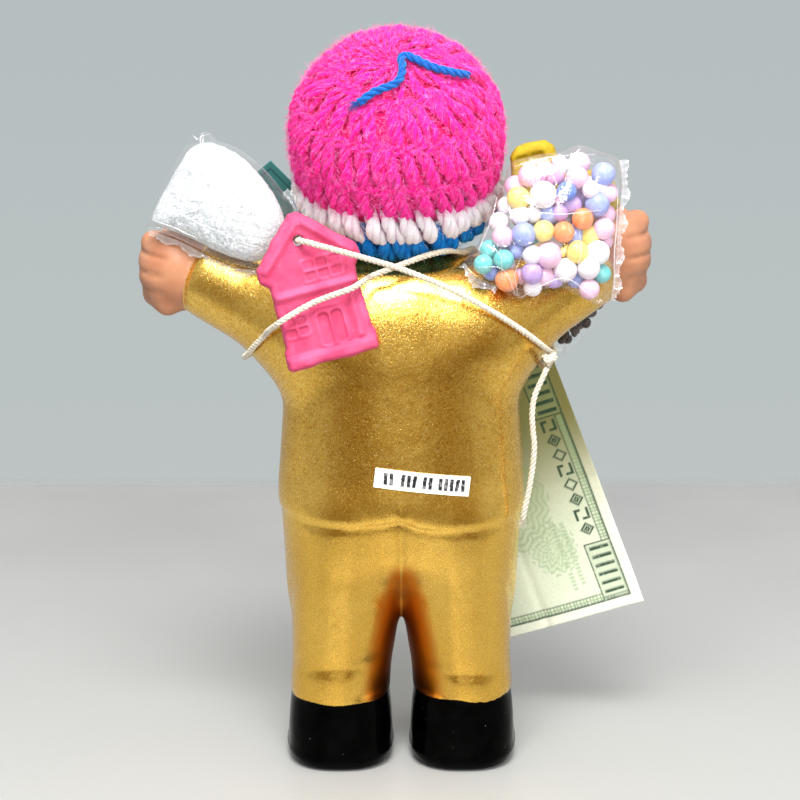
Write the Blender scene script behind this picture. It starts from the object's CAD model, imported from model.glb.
# Ekeko figurine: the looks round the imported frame. Design sizes are in millimetres,
# +Z up, the figure faces -Y; world() turns them into the frame's metres.
import math
from itertools import product

import bpy
import numpy as np
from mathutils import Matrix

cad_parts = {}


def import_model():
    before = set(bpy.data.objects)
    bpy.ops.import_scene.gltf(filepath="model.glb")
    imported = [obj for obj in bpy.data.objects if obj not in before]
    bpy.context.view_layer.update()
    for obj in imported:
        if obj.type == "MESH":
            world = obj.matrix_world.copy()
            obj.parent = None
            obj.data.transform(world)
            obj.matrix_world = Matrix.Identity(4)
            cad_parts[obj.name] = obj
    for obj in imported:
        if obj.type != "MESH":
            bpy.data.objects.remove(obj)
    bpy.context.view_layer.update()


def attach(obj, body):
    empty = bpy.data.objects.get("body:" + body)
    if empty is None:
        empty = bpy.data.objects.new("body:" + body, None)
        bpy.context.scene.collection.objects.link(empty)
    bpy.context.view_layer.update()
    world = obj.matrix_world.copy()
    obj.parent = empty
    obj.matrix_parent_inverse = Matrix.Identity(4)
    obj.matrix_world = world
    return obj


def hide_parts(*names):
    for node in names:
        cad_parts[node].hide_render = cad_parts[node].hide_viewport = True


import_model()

MM = 0.001
PLAN_CENTRE = np.array([0.07, -3.15, 0.0])


def world(points):
    return (np.asarray(points, float) - PLAN_CENTRE) * MM


# Camera
CAMERA_PLACE = (0.0, 520.0, 200.0)
CAMERA_PITCH = 12.0
CAMERA_FOCAL_PX = 2213.0
FRAME_PX = 800
SENSOR_MM = 36.0

lens = bpy.data.cameras.new("camera")
lens.sensor_width = SENSOR_MM
lens.lens = CAMERA_FOCAL_PX * SENSOR_MM / FRAME_PX
lens.shift_x = 1 / FRAME_PX
lens.clip_start = 0.01
lens.clip_end = 20
camera = bpy.data.objects.new("camera", lens)
camera.location = world(CAMERA_PLACE)
camera.rotation_euler = (math.radians(90 - CAMERA_PITCH), 0, math.pi)
bpy.context.scene.collection.objects.link(camera)
bpy.context.scene.camera = camera
bpy.context.scene.view_settings.view_transform = "Standard"


# Meshes
def make_mesh(name, points, faces, values=None, smooth=True):
    """A mesh object from design-millimetre points and equal-sided faces; values
    holds float attributes, one number for each point."""
    points = world(points)
    faces = np.asarray(faces, np.int32)
    mesh = bpy.data.meshes.new(name)
    mesh.vertices.add(len(points))
    mesh.vertices.foreach_set("co", points.astype(np.float32).ravel())
    mesh.loops.add(faces.size)
    mesh.loops.foreach_set("vertex_index", faces.ravel())
    mesh.polygons.add(len(faces))
    mesh.polygons.foreach_set("loop_start", np.arange(0, faces.size, faces.shape[1], dtype=np.int32))
    mesh.polygons.foreach_set("use_smooth", np.full(len(faces), smooth))
    mesh.update(calc_edges=True)
    for key, numbers in (values or {}).items():
        layer = mesh.attributes.new(key, "FLOAT", "POINT")
        layer.data.foreach_set("value", np.asarray(numbers, np.float32).ravel())
    mesh.validate()
    piece = bpy.data.objects.new(name, mesh)
    bpy.context.scene.collection.objects.link(piece)
    return piece


def finish_piece(piece, material, slot, *nodes):
    """Gives a piece its material, body and slot, and the nodes that it replaces."""
    piece.data.materials.append(material)
    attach(piece, "root")
    if nodes:
        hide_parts(*nodes)


def join_parts(parts):
    """Joins (points, faces, values) parts of one face size into one."""
    points, faces, values, start = [], [], {}, 0
    for part_points, part_faces, part_values in parts:
        points.append(part_points)
        faces.append(part_faces + start)
        for key, numbers in part_values.items():
            values.setdefault(key, []).append(np.broadcast_to(numbers, len(part_points)))
        start += len(part_points)
    joined = {key: np.concatenate(lists) for key, lists in values.items()}
    return np.concatenate(points), np.concatenate(faces), joined


def grid_faces(sheets, rows, columns, closed=False):
    """Quads over sheets of rows of points; closed joins each row's end to its start."""
    across = columns if closed else columns - 1
    n, i, j = np.meshgrid(np.arange(sheets), np.arange(rows - 1), np.arange(across), indexing="ij")
    first = (n * rows + i) * columns
    k = (j + 1) % columns
    return np.stack([first + j, first + k, first + columns + k, first + columns + j], -1).reshape(-1, 4)


TURNED = [0, 3, 2, 1]


def unit(vectors):
    length = np.linalg.norm(vectors, axis=-1, keepdims=True)
    return vectors / np.maximum(length, 1e-9)


def distance_along(lines):
    """Distance from the start, at each point of a line or of many lines."""
    steps = np.linalg.norm(np.diff(lines, axis=-2), axis=-1)
    return np.concatenate([np.zeros_like(steps[..., :1]), np.cumsum(steps, axis=-1)], axis=-1)


def through(knots):
    """Dense centripetal curve from the second to the last but one of the knots."""
    dense = []
    for i in range(1, len(knots) - 2):
        near = knots[i - 1:i + 3]
        gaps = np.maximum(np.linalg.norm(np.diff(near, axis=0), axis=1), 1e-6) ** 0.5
        t = np.concatenate([[0], np.cumsum(gaps)])
        at = np.linspace(t[1], t[2], 24, endpoint=False)[:, None]
        reach = list(near)
        for span in (1, 2, 3):
            ends = [(0, 1), (1, 2), (2, 3)] if span == 1 else [(0, 2), (1, 3)] if span == 2 else [(1, 2)]
            reach = [
                (t[b] - at) / (t[b] - t[a]) * reach[n] + (at - t[a]) / (t[b] - t[a]) * reach[n + 1]
                for n, (a, b) in enumerate(ends)
            ]
        dense.append(reach[0])
    return np.concatenate([*dense, knots[-2][None]])


def resample(points, spacing):
    along = distance_along(points)
    count = max(int(round(along[-1] / spacing)), 2)
    at = np.linspace(0, along[-1], count + 1)
    return np.stack([np.interp(at, along, points[:, axis]) for axis in range(3)], axis=1)


def spline(knots, spacing):
    """Evenly spaced points on a smooth curve through the knots."""
    knots = np.asarray(knots, float)
    return resample(through(np.array([2 * knots[0] - knots[1], *knots, 2 * knots[-1] - knots[-2]])), spacing)


def frames_along(points):
    """Two cross directions at each point of a line, carried along untwisted."""
    tangent = unit(np.gradient(points, axis=0))
    normal = np.empty_like(points)
    carried = np.cross(tangent[0], [0.3, 0.5, 0.81])
    for i, t in enumerate(tangent):
        carried = unit(carried - np.dot(carried, t) * t)
        normal[i] = carried
    return normal, np.cross(tangent, normal)


def tube(points, radius, sides):
    """A closed tube round a centre line; its radius may change along the line."""
    count = len(points)
    normal, side = frames_along(points)
    angle = np.linspace(0, 2 * np.pi, sides, endpoint=False)[None, :, None]
    reach = np.broadcast_to(radius, count)[:, None, None]
    ring = points[:, None] + reach * np.cos(angle) * normal[:, None] + reach * np.sin(angle) * side[:, None]
    j = np.arange(0, sides, 2)
    tip = np.full_like(j, count * sides)
    last = (count - 1) * sides
    low = np.stack([tip, (j + 2) % sides, (j + 1) % sides, j], -1)
    high = np.stack([tip + 1, last + j, last + (j + 1) % sides, last + (j + 2) % sides], -1)
    faces = np.concatenate([grid_faces(1, count, sides, True), low, high])
    return np.concatenate([ring.reshape(-1, 3), points[:1], points[-1:]]), faces


# Materials
class Nodes:
    """Shader nodes in one tree. Sockets are passed by name."""

    def __init__(self, tree):
        self.tree = tree
        tree.nodes.clear()

    def put(self, node, inputs):
        for key, value in inputs.items():
            socket = node.inputs[key]
            if isinstance(value, bpy.types.NodeSocket):
                self.tree.links.new(value, socket)
            elif isinstance(value, tuple) and len(value) == 3 and len(socket.default_value) == 4:
                socket.default_value = (*value, 1)
            else:
                socket.default_value = value

    def add(self, kind, inputs=None, **options):
        node = self.tree.nodes.new("ShaderNode" + kind)
        for key, value in options.items():
            setattr(node, key, value)
        self.put(node, inputs or {})
        return node

    def place(self):
        """Object coordinates in millimetres."""
        metres = self.add("TexCoord").outputs["Object"]
        return self.add("Mapping", {"Vector": metres, "Scale": (1000, 1000, 1000)}).outputs[0]

    def value(self, name):
        return self.add("Attribute", attribute_name=name).outputs["Fac"]

    def noise(self, scale, detail=2.0, roughness=0.5, vector=None, distortion=0.0):
        inputs = {"Scale": scale, "Detail": detail, "Roughness": roughness, "Distortion": distortion,
                  "Vector": vector or self.place()}
        return self.add("TexNoise", inputs).outputs["Fac"]

    def cells(self, scale, output="Distance"):
        return self.add("TexVoronoi", {"Scale": scale, "Vector": self.place()}).outputs[output]

    def math(self, operation, a, b=0.0, clamp=False):
        return self.add("Math", {0: a, 1: b}, operation=operation, use_clamp=clamp).outputs[0]

    def times(self, *factors):
        product_so_far = factors[0]
        for factor in factors[1:]:
            product_so_far = self.math("MULTIPLY", product_so_far, factor)
        return product_so_far

    def most(self, *values):
        largest = values[0]
        for value in values[1:]:
            largest = self.math("MAXIMUM", largest, value)
        return largest

    def ramp(self, factor, low, high, out_low=0.0, out_high=1.0, smooth=True):
        kind = "SMOOTHSTEP" if smooth else "LINEAR"
        inputs = {"Value": factor, "From Min": low, "From Max": high, "To Min": out_low, "To Max": out_high}
        return self.add("MapRange", inputs, interpolation_type=kind).outputs["Result"]

    def blend(self, factor, a, b):
        colours = [value if isinstance(value, bpy.types.NodeSocket) else (*value, 1) for value in (a, b)]
        return self.add("Mix", {0: factor, 6: colours[0], 7: colours[1]}, data_type="RGBA").outputs[2]

    def mottled(self, scale, detail, a, b, low=0.35, high=0.7, roughness=0.5):
        """Two tones in soft patches."""
        return self.blend(self.ramp(self.noise(scale, detail, roughness), low, high), a, b)

    def either(self, factor, a, b):
        return self.add("Mix", {0: factor, 2: a, 3: b}, data_type="FLOAT").outputs[0]

    def bump(self, height, strength, distance, **base):
        inputs = {"Height": height, "Strength": strength, "Distance": distance, **base}
        return self.add("Bump", inputs).outputs[0]


class Graph(Nodes):
    """A material round one Principled shader."""

    def __init__(self, name, **settings):
        self.material = bpy.data.materials.new(name)
        self.material.use_nodes = True
        super().__init__(self.material.node_tree)
        self.shader = self.add("BsdfPrincipled", settings)
        self.tree.links.new(self.shader.outputs[0], self.add("OutputMaterial").inputs[0])

    def set(self, inputs):
        self.put(self.shader, inputs)


def tone(red, green, blue):
    """Linear colour from an 8-bit screen colour."""
    def linear(value):
        value = value / 255
        return value / 12.92 if value <= 0.04045 else ((value + 0.055) / 1.055) ** 2.4
    return linear(red), linear(green), linear(blue)


# Strings and yarn
PLIES = 3
PLY_SIDES = 7
TAPERED_STEPS = 6


def plied(points, ply_radius, offset, pitch, taper=0.0):
    """Round plies laid helically about a line, joined; taper thins their far end."""
    normal, side = frames_along(points)
    radius = np.full(len(points), ply_radius)
    radius[-TAPERED_STEPS:] *= np.linspace(1, 1 - taper, TAPERED_STEPS)
    parts = []
    for ply in range(PLIES):
        turn = (2 * np.pi * (distance_along(points) / pitch + ply / PLIES))[:, None]
        line = points + offset * (np.cos(turn) * normal + np.sin(turn) * side)
        parts.append((*tube(line, radius, PLY_SIDES), {}))
    return join_parts(parts)


def fibres(starts, directions, lengths, radius, rng, curl=0.5, bends=4):
    """Thin curling hairs as three-sided tubes, as one part for join_parts."""
    count = len(starts)
    lines = np.empty((count, bends + 1, 3))
    lines[:, 0] = starts
    heading = unit(directions)
    for bend in range(bends):
        heading = unit(heading + curl * rng.normal(size=(count, 3)))
        lines[:, bend + 1] = lines[:, bend] + heading * (lengths / bends)[:, None]
    tangent = unit(np.gradient(lines, axis=1))
    across = unit(np.cross(tangent, [0.31, 0.22, 0.92]))
    over = np.cross(across, tangent)
    width = (radius * np.linspace(1, 0.35, bends + 1))[None, :, None, None]
    turn = (2 * np.pi * np.arange(3) / 3)[:, None]
    ring = lines[:, :, None] + width * (np.cos(turn) * across[:, :, None] + np.sin(turn) * over[:, :, None])
    shade = np.repeat(rng.random(count), (bends + 1) * 3)
    return ring.reshape(-1, 3), grid_faces(count, bends + 1, 3, True), {"shade": shade}


def string_material(name, light, dark):
    g = Graph(name, **{"Roughness": 0.9, "Sheen Weight": 0.25, "Sheen Roughness": 0.5,
                       "Specular IOR Level": 0.25})
    strands = g.noise(3.2, 4, 0.65)
    colour = g.blend(g.ramp(strands, 0.35, 0.65), dark, light)
    colour = g.blend(g.ramp(g.noise(0.4, 2), 0.4, 0.7, 0, 0.3), colour, dark)
    g.set({"Base Color": colour, "Normal": g.bump(strands, 0.5, 0.0002)})
    return g.material


cotton = string_material("cotton_string", tone(232, 226, 210), tone(176, 164, 142))
blue_yarn = string_material("blue_yarn", tone(4, 112, 202), tone(0, 60, 140))

TAIL_ROUTE = [
    (-34.6, 12, 99.6), (-33.3, 12.7, 96.8), (-31.8, 13.2, 93.4), (-31.2, 13.4, 89.6), (-31.4, 13.4, 85.4),
    (-31.8, 13.3, 81.2), (-31.6, 13.2, 77.2), (-31.1, 13.1, 73.2), (-30.5, 13.0, 69.4), (-29.8, 13.0, 66.0),
    (-29.3, 13.0, 62.9),
]
YARN_ROUTE = [
    (8.9, 23.6, 162.3), (7.4, 23.7, 163.4), (5.6, 23.6, 164.6), (3.3, 23.4, 165.5), (1.2, 23.0, 166.3),
    (0.0, 22.4, 167.2), (-0.6, 21.4, 168.4), (-0.8, 20.0, 170.2), (-0.5, 18.7, 171.6), (-1.1, 17.8, 172.4),
    (-2.3, 17.8, 172.2), (-4.0, 18.3, 171.5), (-6.7, 18.8, 170.2), (-8.7, 18.6, 169.5), (-10.9, 17.8, 168.9),
    (-13.3, 16.6, 168.3), (-15.9, 14.7, 167.8),
]
PATH_SPACING = 1.0


def declare_cord(line, route, start):
    path = [tuple(p) for p in world(spline(route, PATH_SPACING))]
    tuple(world(start))
    distance_along(line)[-1] * MM


def hang_tail():
    rng = np.random.default_rng(11)
    line = spline(TAIL_ROUTE, 0.3)
    tail = make_mesh("string_tail_plies", *plied(line, 0.36, 0.36, 3.6, taper=0.5))
    finish_piece(tail, cotton, "string_tail", "string_tail")
    frayed = line[-1] + rng.normal(size=(46, 3)) * 0.28
    down = np.array([0.25, 0.1, -1.0]) + 0.42 * rng.normal(size=(46, 3))
    hair = fibres(frayed, down, 1.0 + 2.4 * rng.random(46), 0.05, rng, 0.35)
    finish_piece(make_mesh("string_tail_fray", *hair), cotton, "string_tail")
    declare_cord(line, TAIL_ROUTE, TAIL_ROUTE[0])


def lay_yarn():
    rng = np.random.default_rng(12)
    line = spline(YARN_ROUTE, 0.25)
    yarn = make_mesh("hat_yarn_plies", *plied(line, 0.50, 0.52, 6.2, taper=0.3))
    finish_piece(yarn, blue_yarn, "yarn_end", "hat_yarn")
    start = line[0] + rng.normal(size=(60, 3)) * 0.32
    way = line[0] - line[8] + 0.5 * rng.normal(size=(60, 3))
    side = rng.integers(4, len(line) - 4, 150)
    out = unit(rng.normal(size=(150, 3)))
    hair = join_parts([
        fibres(start, way, 1.2 + 2.6 * rng.random(60), 0.05, rng, 0.3),
        fibres(line[side] + out * 0.6, out + unit(line[side + 2] - line[side]), 0.5 + 0.8 * rng.random(150),
               0.03, rng),
    ])
    finish_piece(make_mesh("hat_yarn_fray", *hair), blue_yarn, "yarn_end")
    declare_cord(line, YARN_ROUTE, YARN_ROUTE[-1])


hang_tail()
lay_yarn()


# Form of the cast
BODY_X = -0.6
TORSO_HALF_WIDTH = [(36, 26.4), (48, 27.0), (60, 28.1), (72, 29.3), (84, 28.7), (94, 28.0), (112, 27.0)]
TORSO_BACK = [(40, 6.0), (46, 11.2), (52, 16.4), (60, 19.0), (68, 19.9), (76, 19.9), (94, 19.2), (104, 18.9),
              (110, 18.3), (116, 17.4)]
TORSO_FRONT = [(36, 14.5), (50, 17.0), (60, 20.5), (74, 24.5), (90, 22.5), (112, 15.5)]
TORSO_TOP = 119.5
CROTCH_Z = 38.2
JACKET_HEM = [(-28, 63.7), (-18, 62.9), (-10, 62.6), (-4, 63.5), (-0.6, 64.9), (4, 64.2), (11, 63.5),
              (20, 63.9), (28, 64.8)]
TROUSER_HEM_Z = 17.4
SHOULDER = np.array([19, 0.5, 107.5])
SHOULDER_RADIUS = 13.2
SLEEVE_RADIUS = 9.5
WRISTS = {"left": np.array([50, -7, 120.6]), "right": np.array([-48, -7, 122.4])}
HAND_LIFT = {"left": -0.4, "right": 2.0}
FINGER_PITCH = {"left": 4.2, "right": 4.8}
LEG_X = [(17, 15.0), (30, 14.1), (38, 13.5), (44, 13.3)]
LEG_HALF_WIDTH = [(17, 11.8), (30, 12.6), (38, 13.3), (44, 13.5)]
LEG_BACK = [(0, 13.6), (20, 13.8), (40, 15.8), (52, 17.3), (62, 18.1)]
LEG_FRONT = [(0, 12.0), (20, 13.0), (40, 14.6)]
SHOE_HALF_WIDTH = 12.7
HEAD_CENTRE = np.array([0.6, 0, 151.6])
HEAD_RADIUS = 21.7
CAP_LEAN = math.radians(39)
CAP_AXIS = np.array([0, math.sin(CAP_LEAN), math.cos(CAP_LEAN)])
CAP_RADIUS = 26.15
CAP_SKIRT = 15.4
CAP_CLEARANCE = 1.2


def smooth_min(a, b, k):
    h = np.maximum(k - np.abs(a - b), 0) / k
    return np.minimum(a, b) - h * h * k / 4


def smooth_max(a, b, k):
    return -smooth_min(-a, -b, k)


def smooth_step(value, low, high):
    t = np.clip((value - low) / (high - low), 0, 1)
    return t * t * (3 - 2 * t)


def profile(knots, at):
    """Smooth curve through (place, value) pairs, level past both ends."""
    places = np.array([knot[0] for knot in knots], float)
    values = np.array([knot[1] for knot in knots], float)
    slopes = np.diff(values) / np.diff(places)
    tangents = np.zeros(len(places))
    tangents[1:-1] = (slopes[:-1] + slopes[1:]) / 2
    at = np.clip(at, places[0], places[-1])
    i = np.clip(np.searchsorted(places, at, side="right") - 1, 0, len(places) - 2)
    span = places[i + 1] - places[i]
    t = (at - places[i]) / span
    rise = t * t * (3 - 2 * t)
    bend = tangents[i] * t * (1 - t) ** 2 - tangents[i + 1] * t * t * (1 - t)
    return values[i] * (1 - rise) + values[i + 1] * rise + span * bend


def section(x, y, width, depth, roundness):
    reach = np.hypot(x, y) + 1e-6
    power = np.abs(x / width) ** roundness + np.abs(y / depth) ** roundness
    return reach - reach / np.maximum(power, 1e-12) ** (1 / roundness)


def ellipsoid(p, centre, radii):
    q = p - np.asarray(centre, float)
    radii = np.asarray(radii, float)
    near = np.linalg.norm(q / radii, axis=1)
    steep = np.linalg.norm(q / radii ** 2, axis=1)
    return near * (near - 1) / np.maximum(steep, 1e-9)


def round_cone(p, a, b, radius_a, radius_b):
    """Distance to the hull of two balls."""
    a, b = np.asarray(a, float), np.asarray(b, float)
    axis = b - a
    length2 = axis @ axis
    taper = radius_a - radius_b
    side2 = length2 - taper * taper
    pa = p - a
    along = pa @ axis
    past = along - length2
    off = pa * length2 - along[:, None] * axis
    off2 = np.einsum("ij,ij->i", off, off)
    along2 = along * along * length2
    past2 = past * past * length2
    k = np.sign(taper) * taper * taper * off2
    middle = (np.sqrt(off2 * side2 / length2) + along * taper) / length2 - radius_a
    high = np.sqrt(off2 + past2) / length2 - radius_b
    low = np.sqrt(off2 + along2) / length2 - radius_a
    result = np.where(np.sign(along) * side2 * along2 < k, low, middle)
    return np.where(np.sign(past) * side2 * past2 > k, high, result)


def mirrored(point):
    return point * [-1, 1, 1]


def folded(p, middle):
    """Points with both sides of a middle plane laid on each other."""
    return np.column_stack([np.abs(p[:, 0] - middle), p[:, 1:]])


def hump(value, centre, width):
    return np.exp(-((value - centre) / width) ** 2)


def with_forms(solid, p, forms):
    """Joins balls and cones to a solid, or cuts them out where the blend is below 0.
    A form is (blend, centre, radii) or (blend, end, end, radius, radius)."""
    for blend, *form in forms:
        shape = ellipsoid(p, *form) if len(form) == 2 else round_cone(p, *form)
        solid = smooth_min(solid, shape, blend) if blend > 0 else smooth_max(solid, -shape, -blend)
    return solid


def jacket_hem(x):
    """The jacket's lower edge dips a little on both sides of the seat seam."""
    return profile(JACKET_HEM, x)


def trouser_hem(p):
    """The trousers' lower edge wanders a little, as a brush follows a mould line."""
    side = np.where(p[:, 0] > BODY_X, 0.0, 0.9)
    turn = np.arctan2(p[:, 1], np.abs(p[:, 0] - BODY_X) - 15)
    wander = 0.25 * np.sin(3 * turn + 1.3 * side) + 0.15 * np.sin(7 * turn + 2 * side + 0.6)
    return TROUSER_HEM_Z + side + wander


def hem_growth(height, rise, full, hem, fade):
    """A hem's thickening: it rises, is full for a little, and fades out above."""
    return smooth_step(height, hem - rise, hem + full) * (1 - smooth_step(height, hem + 1, hem + fade))


def torso(p):
    growth = 0.75 * hem_growth(p[:, 2], 1.1, 0.5, jacket_hem(p[:, 0]), 12)
    width = profile(TORSO_HALF_WIDTH, p[:, 2]) + growth
    depth = np.where(p[:, 1] > 0, profile(TORSO_BACK, p[:, 2]), profile(TORSO_FRONT, p[:, 2])) + growth
    side = section(p[:, 0] - BODY_X, p[:, 1], width, depth, 2.3)
    return smooth_max(smooth_max(side, p[:, 2] - TORSO_TOP, 20), CROTCH_Z - p[:, 2], 9)


def legs(p):
    growth = 0.35 * hem_growth(p[:, 2], 0.5, 0.5, TROUSER_HEM_Z, 9)
    x = np.abs(p[:, 0] - BODY_X) - profile(LEG_X, p[:, 2])
    depth = np.where(p[:, 1] > 0, profile(LEG_BACK, p[:, 2]), profile(LEG_FRONT, p[:, 2])) + growth
    roundness = 2.5 - 0.75 * smooth_step(-x, -4, 4)
    side = section(x, p[:, 1], profile(LEG_HALF_WIDTH, p[:, 2]) + growth, depth, roundness)
    return smooth_max(smooth_max(side, p[:, 2] - 72, 14), trouser_hem(p) - p[:, 2], 0.5)


def shoes(p):
    q = folded(p, BODY_X)
    depth = np.where(p[:, 1] > 0, 14.3, 13.0)
    swell = 0.7 * ((p[:, 2] - 7) / 10) ** 2
    heel = section(q[:, 0] - 15, q[:, 1], SHOE_HALF_WIDTH - swell, depth - swell, 2.5)
    ankle = smooth_max(heel, p[:, 2] - TROUSER_HEM_Z - 1.5, 0.5)
    welt = 0.3 * hump(p[:, 2], 3.2, 0.8)
    toe = ellipsoid(q, [15.4, -9.5, 2.0], [12.3, 18.0, 12.0])
    return smooth_max(smooth_min(ankle, toe, 4) - welt, -p[:, 2], 3)


def sleeve(p, side):
    wrist = WRISTS[side]
    shoulder = SHOULDER if side == "left" else mirrored(SHOULDER)
    direction = unit(wrist - shoulder)
    along = (p - wrist) @ direction
    arm = round_cone(p, shoulder, wrist, SHOULDER_RADIUS, SLEEVE_RADIUS)
    return smooth_max(arm, along + (2.0 if side == "left" else -0.6), 3.2)


def hand(p, side):
    wrist = WRISTS[side]
    local = (p - wrist) * [np.sign(wrist[0]), 1, 1] - [0, 0, HAND_LIFT[side]]
    solid = round_cone(local, [-7, 0, -2.0], [2.6, -0.5, -0.2], 7.6, 8.2)
    forms = [(4, [3.6, -0.3, -0.3], [8.4, 8.0, 9.4])]
    for finger in range(4):
        height = (1.4 - finger) * FINGER_PITCH[side]
        shorter = abs(finger - 1.3)
        knuckle = [6.0 - 0.2 * abs(finger - 1.5), 2.4, height - 1.4]
        bend = [9.9 - 0.5 * shorter, -2.2, height + 0.3]
        tip = [6.4 - 0.5 * shorter, -7.0, height + 0.2]
        forms += [(2.0, knuckle, bend, 2.8, 2.6), (1.0, bend, tip, 2.6, 2.1)]
    thumb = (2.0, [1, -4.5, 4], [5.0, -8.0, 7.4], 3.2, 2.5)
    solid = with_forms(solid, local, [*forms, thumb])
    for gap in range(3):
        height = (0.9 - gap) * FINGER_PITCH[side] + 0.12 * (local[:, 0] - 8)
        reach = smooth_step(local[:, 0], 3.6 + 0.8 * gap, 7.5) * smooth_step(local[:, 1], -2.5, 0.5)
        solid = solid + 0.6 * reach * hump(local[:, 2], height, 0.55)
    return solid


# The head's forms lie on its left side and are folded to both; blend first
CHEEKS_AND_CHIN = [
    (6, [0, -8.5, 135.5], [17, 17, 15]), (4, [9.0, -20.0, 136.5], [7, 6, 7]),
    (4, [0, -21.5, 126.5], [6.5, 5, 5]),
]
UPPER_LIP = [0, -25.0, 131.4], [4.4, 1.6, 0.9]
LOWER_LIP = [0, -25.0, 129.8], [3.6, 1.7, 1.1]
SOCKET = (-2.0, [8.1, -28.0, 144.6], [5.6, 3.4, 3.6])
EYEBALL = (0.4, [8.0, -23.6, 144.2], [3.7, 2.3, 2.3])
LID = (0.8, [5.0, -25.3, 146.3], [11.2, -23.6, 145.6], 0.9, 0.6)
NOSE = (1.8, [0, -25.4, 146.5], [0, -28.0, 138.8], 1.5, 2.6)
NOSE_WING = (0.8, [2.5, -26.7, 138.2], [1.6, 1.8, 1.5])
NOSTRIL = (-0.4, [1.35, -28.4, 136.7], [0.6, 0.9, 0.7])
FACE = [SOCKET, EYEBALL, LID, NOSE, NOSE_WING, NOSTRIL, (0.6, *UPPER_LIP), (0.5, *LOWER_LIP)]
EAR = [20.6, -13.5, 137.5], [2.2, 3.6, 5.2]
EAR_HOLLOW = (-0.8, [22.6, -14.0, 138.2], [1.6, 2.0, 3.2])


def skull(q):
    top = HEAD_CENTRE * [0, 1, 1]
    low = top - CAP_AXIS * 8
    return with_forms(round_cone(q, top, low, HEAD_RADIUS, HEAD_RADIUS - 0.01), q, CHEEKS_AND_CHIN)


def moustache(q):
    inner = round_cone(q, [1.0, -26.8, 134.9], [5.6, -26.0, 133.4], 1.7, 1.5)
    outer = (0.8, [5.6, -26.0, 133.4], [9.6, -23.9, 134.6], 1.5, 0.6)
    return with_forms(inner, q, [outer]) + 0.12 * np.sin(9 * q[:, 0] + 5 * q[:, 2])


def brows(q):
    inner = round_cone(q, [3.9, -25.8, 148.2], [7.8, -25.2, 149.3], 0.8, 0.95)
    return with_forms(inner, q, [(0.6, [7.8, -25.2, 149.3], [11.8, -23.0, 148.0], 0.95, 0.5)])


def head(q):
    solid = smooth_min(with_forms(skull(q), q, FACE), with_forms(ellipsoid(q, *EAR), q, [EAR_HOLLOW]), 1)
    return smooth_min(smooth_min(solid, brows(q), 0.5), moustache(q), 0.5)


def cap_form(p):
    q = p - HEAD_CENTRE
    along = q @ CAP_AXIS
    reach2 = np.einsum("ij,ij->i", q, q)
    skirt = np.maximum(np.sqrt(np.maximum(reach2 - along * along, 0)) - CAP_RADIUS, -along - CAP_SKIRT)
    return np.where(along > 0, np.sqrt(reach2) - CAP_RADIUS, skirt)


LAPEL_CORNERS = [(12.4, 112.5), (7.4, 114.0), (0.9, 101.5), (8.6, 104.5)]
BUTTON_HEIGHTS = (92, 80, 68)


def lapel_cover(x, z):
    """Signed distance, in the front view, to a lapel's four-sided outline."""
    distance = np.full(len(x), -1e9)
    for (x0, z0), (x1, z1) in zip(LAPEL_CORNERS, LAPEL_CORNERS[1:] + LAPEL_CORNERS[:1]):
        length = math.hypot(x1 - x0, z1 - z0)
        distance = np.maximum(distance, ((z1 - z0) * (x0 - x) - (x1 - x0) * (z0 - z)) / length)
    return distance


def inside(distance, low, high):
    return 1 - smooth_step(distance, low, high)


def trim(p, solid):
    """Lapels, front edge, buttons, seat seam and the dents above the hems, as small
    changes of height."""
    x, y, z = p[:, 0] - BODY_X, p[:, 1], p[:, 2]
    lapel = 0.9 * inside(lapel_cover(np.abs(x), z), -0.5, 0.4)
    edge = 0.45 * inside(np.abs(x - 1.6), 0.15, 0.7) * smooth_step(z, 62, 64) * inside(z, 100, 103)
    pocket = np.maximum(np.abs(np.abs(x) - 15.5) - 5.5, np.abs(z - 76 - 0.1 * x) - 1.9)
    front = lapel - edge + 0.5 * inside(pocket, -0.3, 0.3)
    for height in BUTTON_HEIGHTS:
        from_middle = np.hypot(x, z - height)
        front += 1.2 * inside(from_middle, 1.7, 2.2) - 0.35 * inside(from_middle, 1.0, 1.4)
    seam = 0.38 * smooth_step(z, 36, 42) * inside(z, 63, 70) * hump(x, 0, 0.8)
    left_dent = 0.75 * hump(x, 14.5, 9.0) * hump(z, 26.4 - 0.05 * (x - 14), 1.9)
    right_dent = 0.65 * hump(x, -15.5, 7.5) * hump(z, 25.0 + 0.04 * (x + 15), 1.5)
    crease = 0.22 * hump(z, jacket_hem(p[:, 0]) - 1.1, 0.9) * inside(np.abs(x), 22, 28)
    back = left_dent + right_dent + crease - seam
    return solid - smooth_step(-y, 4, 8) * front + smooth_step(y, 3, 7) * back


UPPER_CHEST = (6, [-0.3, 0.0, 112.5], [23, 15.4, 14.2])
COLLAR = (2, [0.6, -6.5, 119.5], [16, 15.5, 5.5])


def clothes(p):
    shoulders = round_cone(p, SHOULDER, mirrored(SHOULDER), SHOULDER_RADIUS, SHOULDER_RADIUS - 0.01)
    solid = with_forms(smooth_min(shoulders, torso(p), 8), p, [UPPER_CHEST])
    solid = smooth_min(solid, np.minimum(sleeve(p, "left"), sleeve(p, "right")), 9)
    solid = with_forms(solid, p, [COLLAR])
    solid = smooth_max(solid, CAP_CLEARANCE - cap_form(p), 1)
    return smooth_min(solid, legs(p), 5)


def figure(p):
    solid = trim(p, clothes(p))
    solid = smooth_min(solid, shoes(p), 0.3)
    solid = smooth_min(solid, np.minimum(hand(p, "left"), hand(p, "right")), 0.5)
    solid = smooth_min(solid, head(folded(p, HEAD_CENTRE[0])), 0.8)
    return np.maximum(solid, -p[:, 2])


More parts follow.
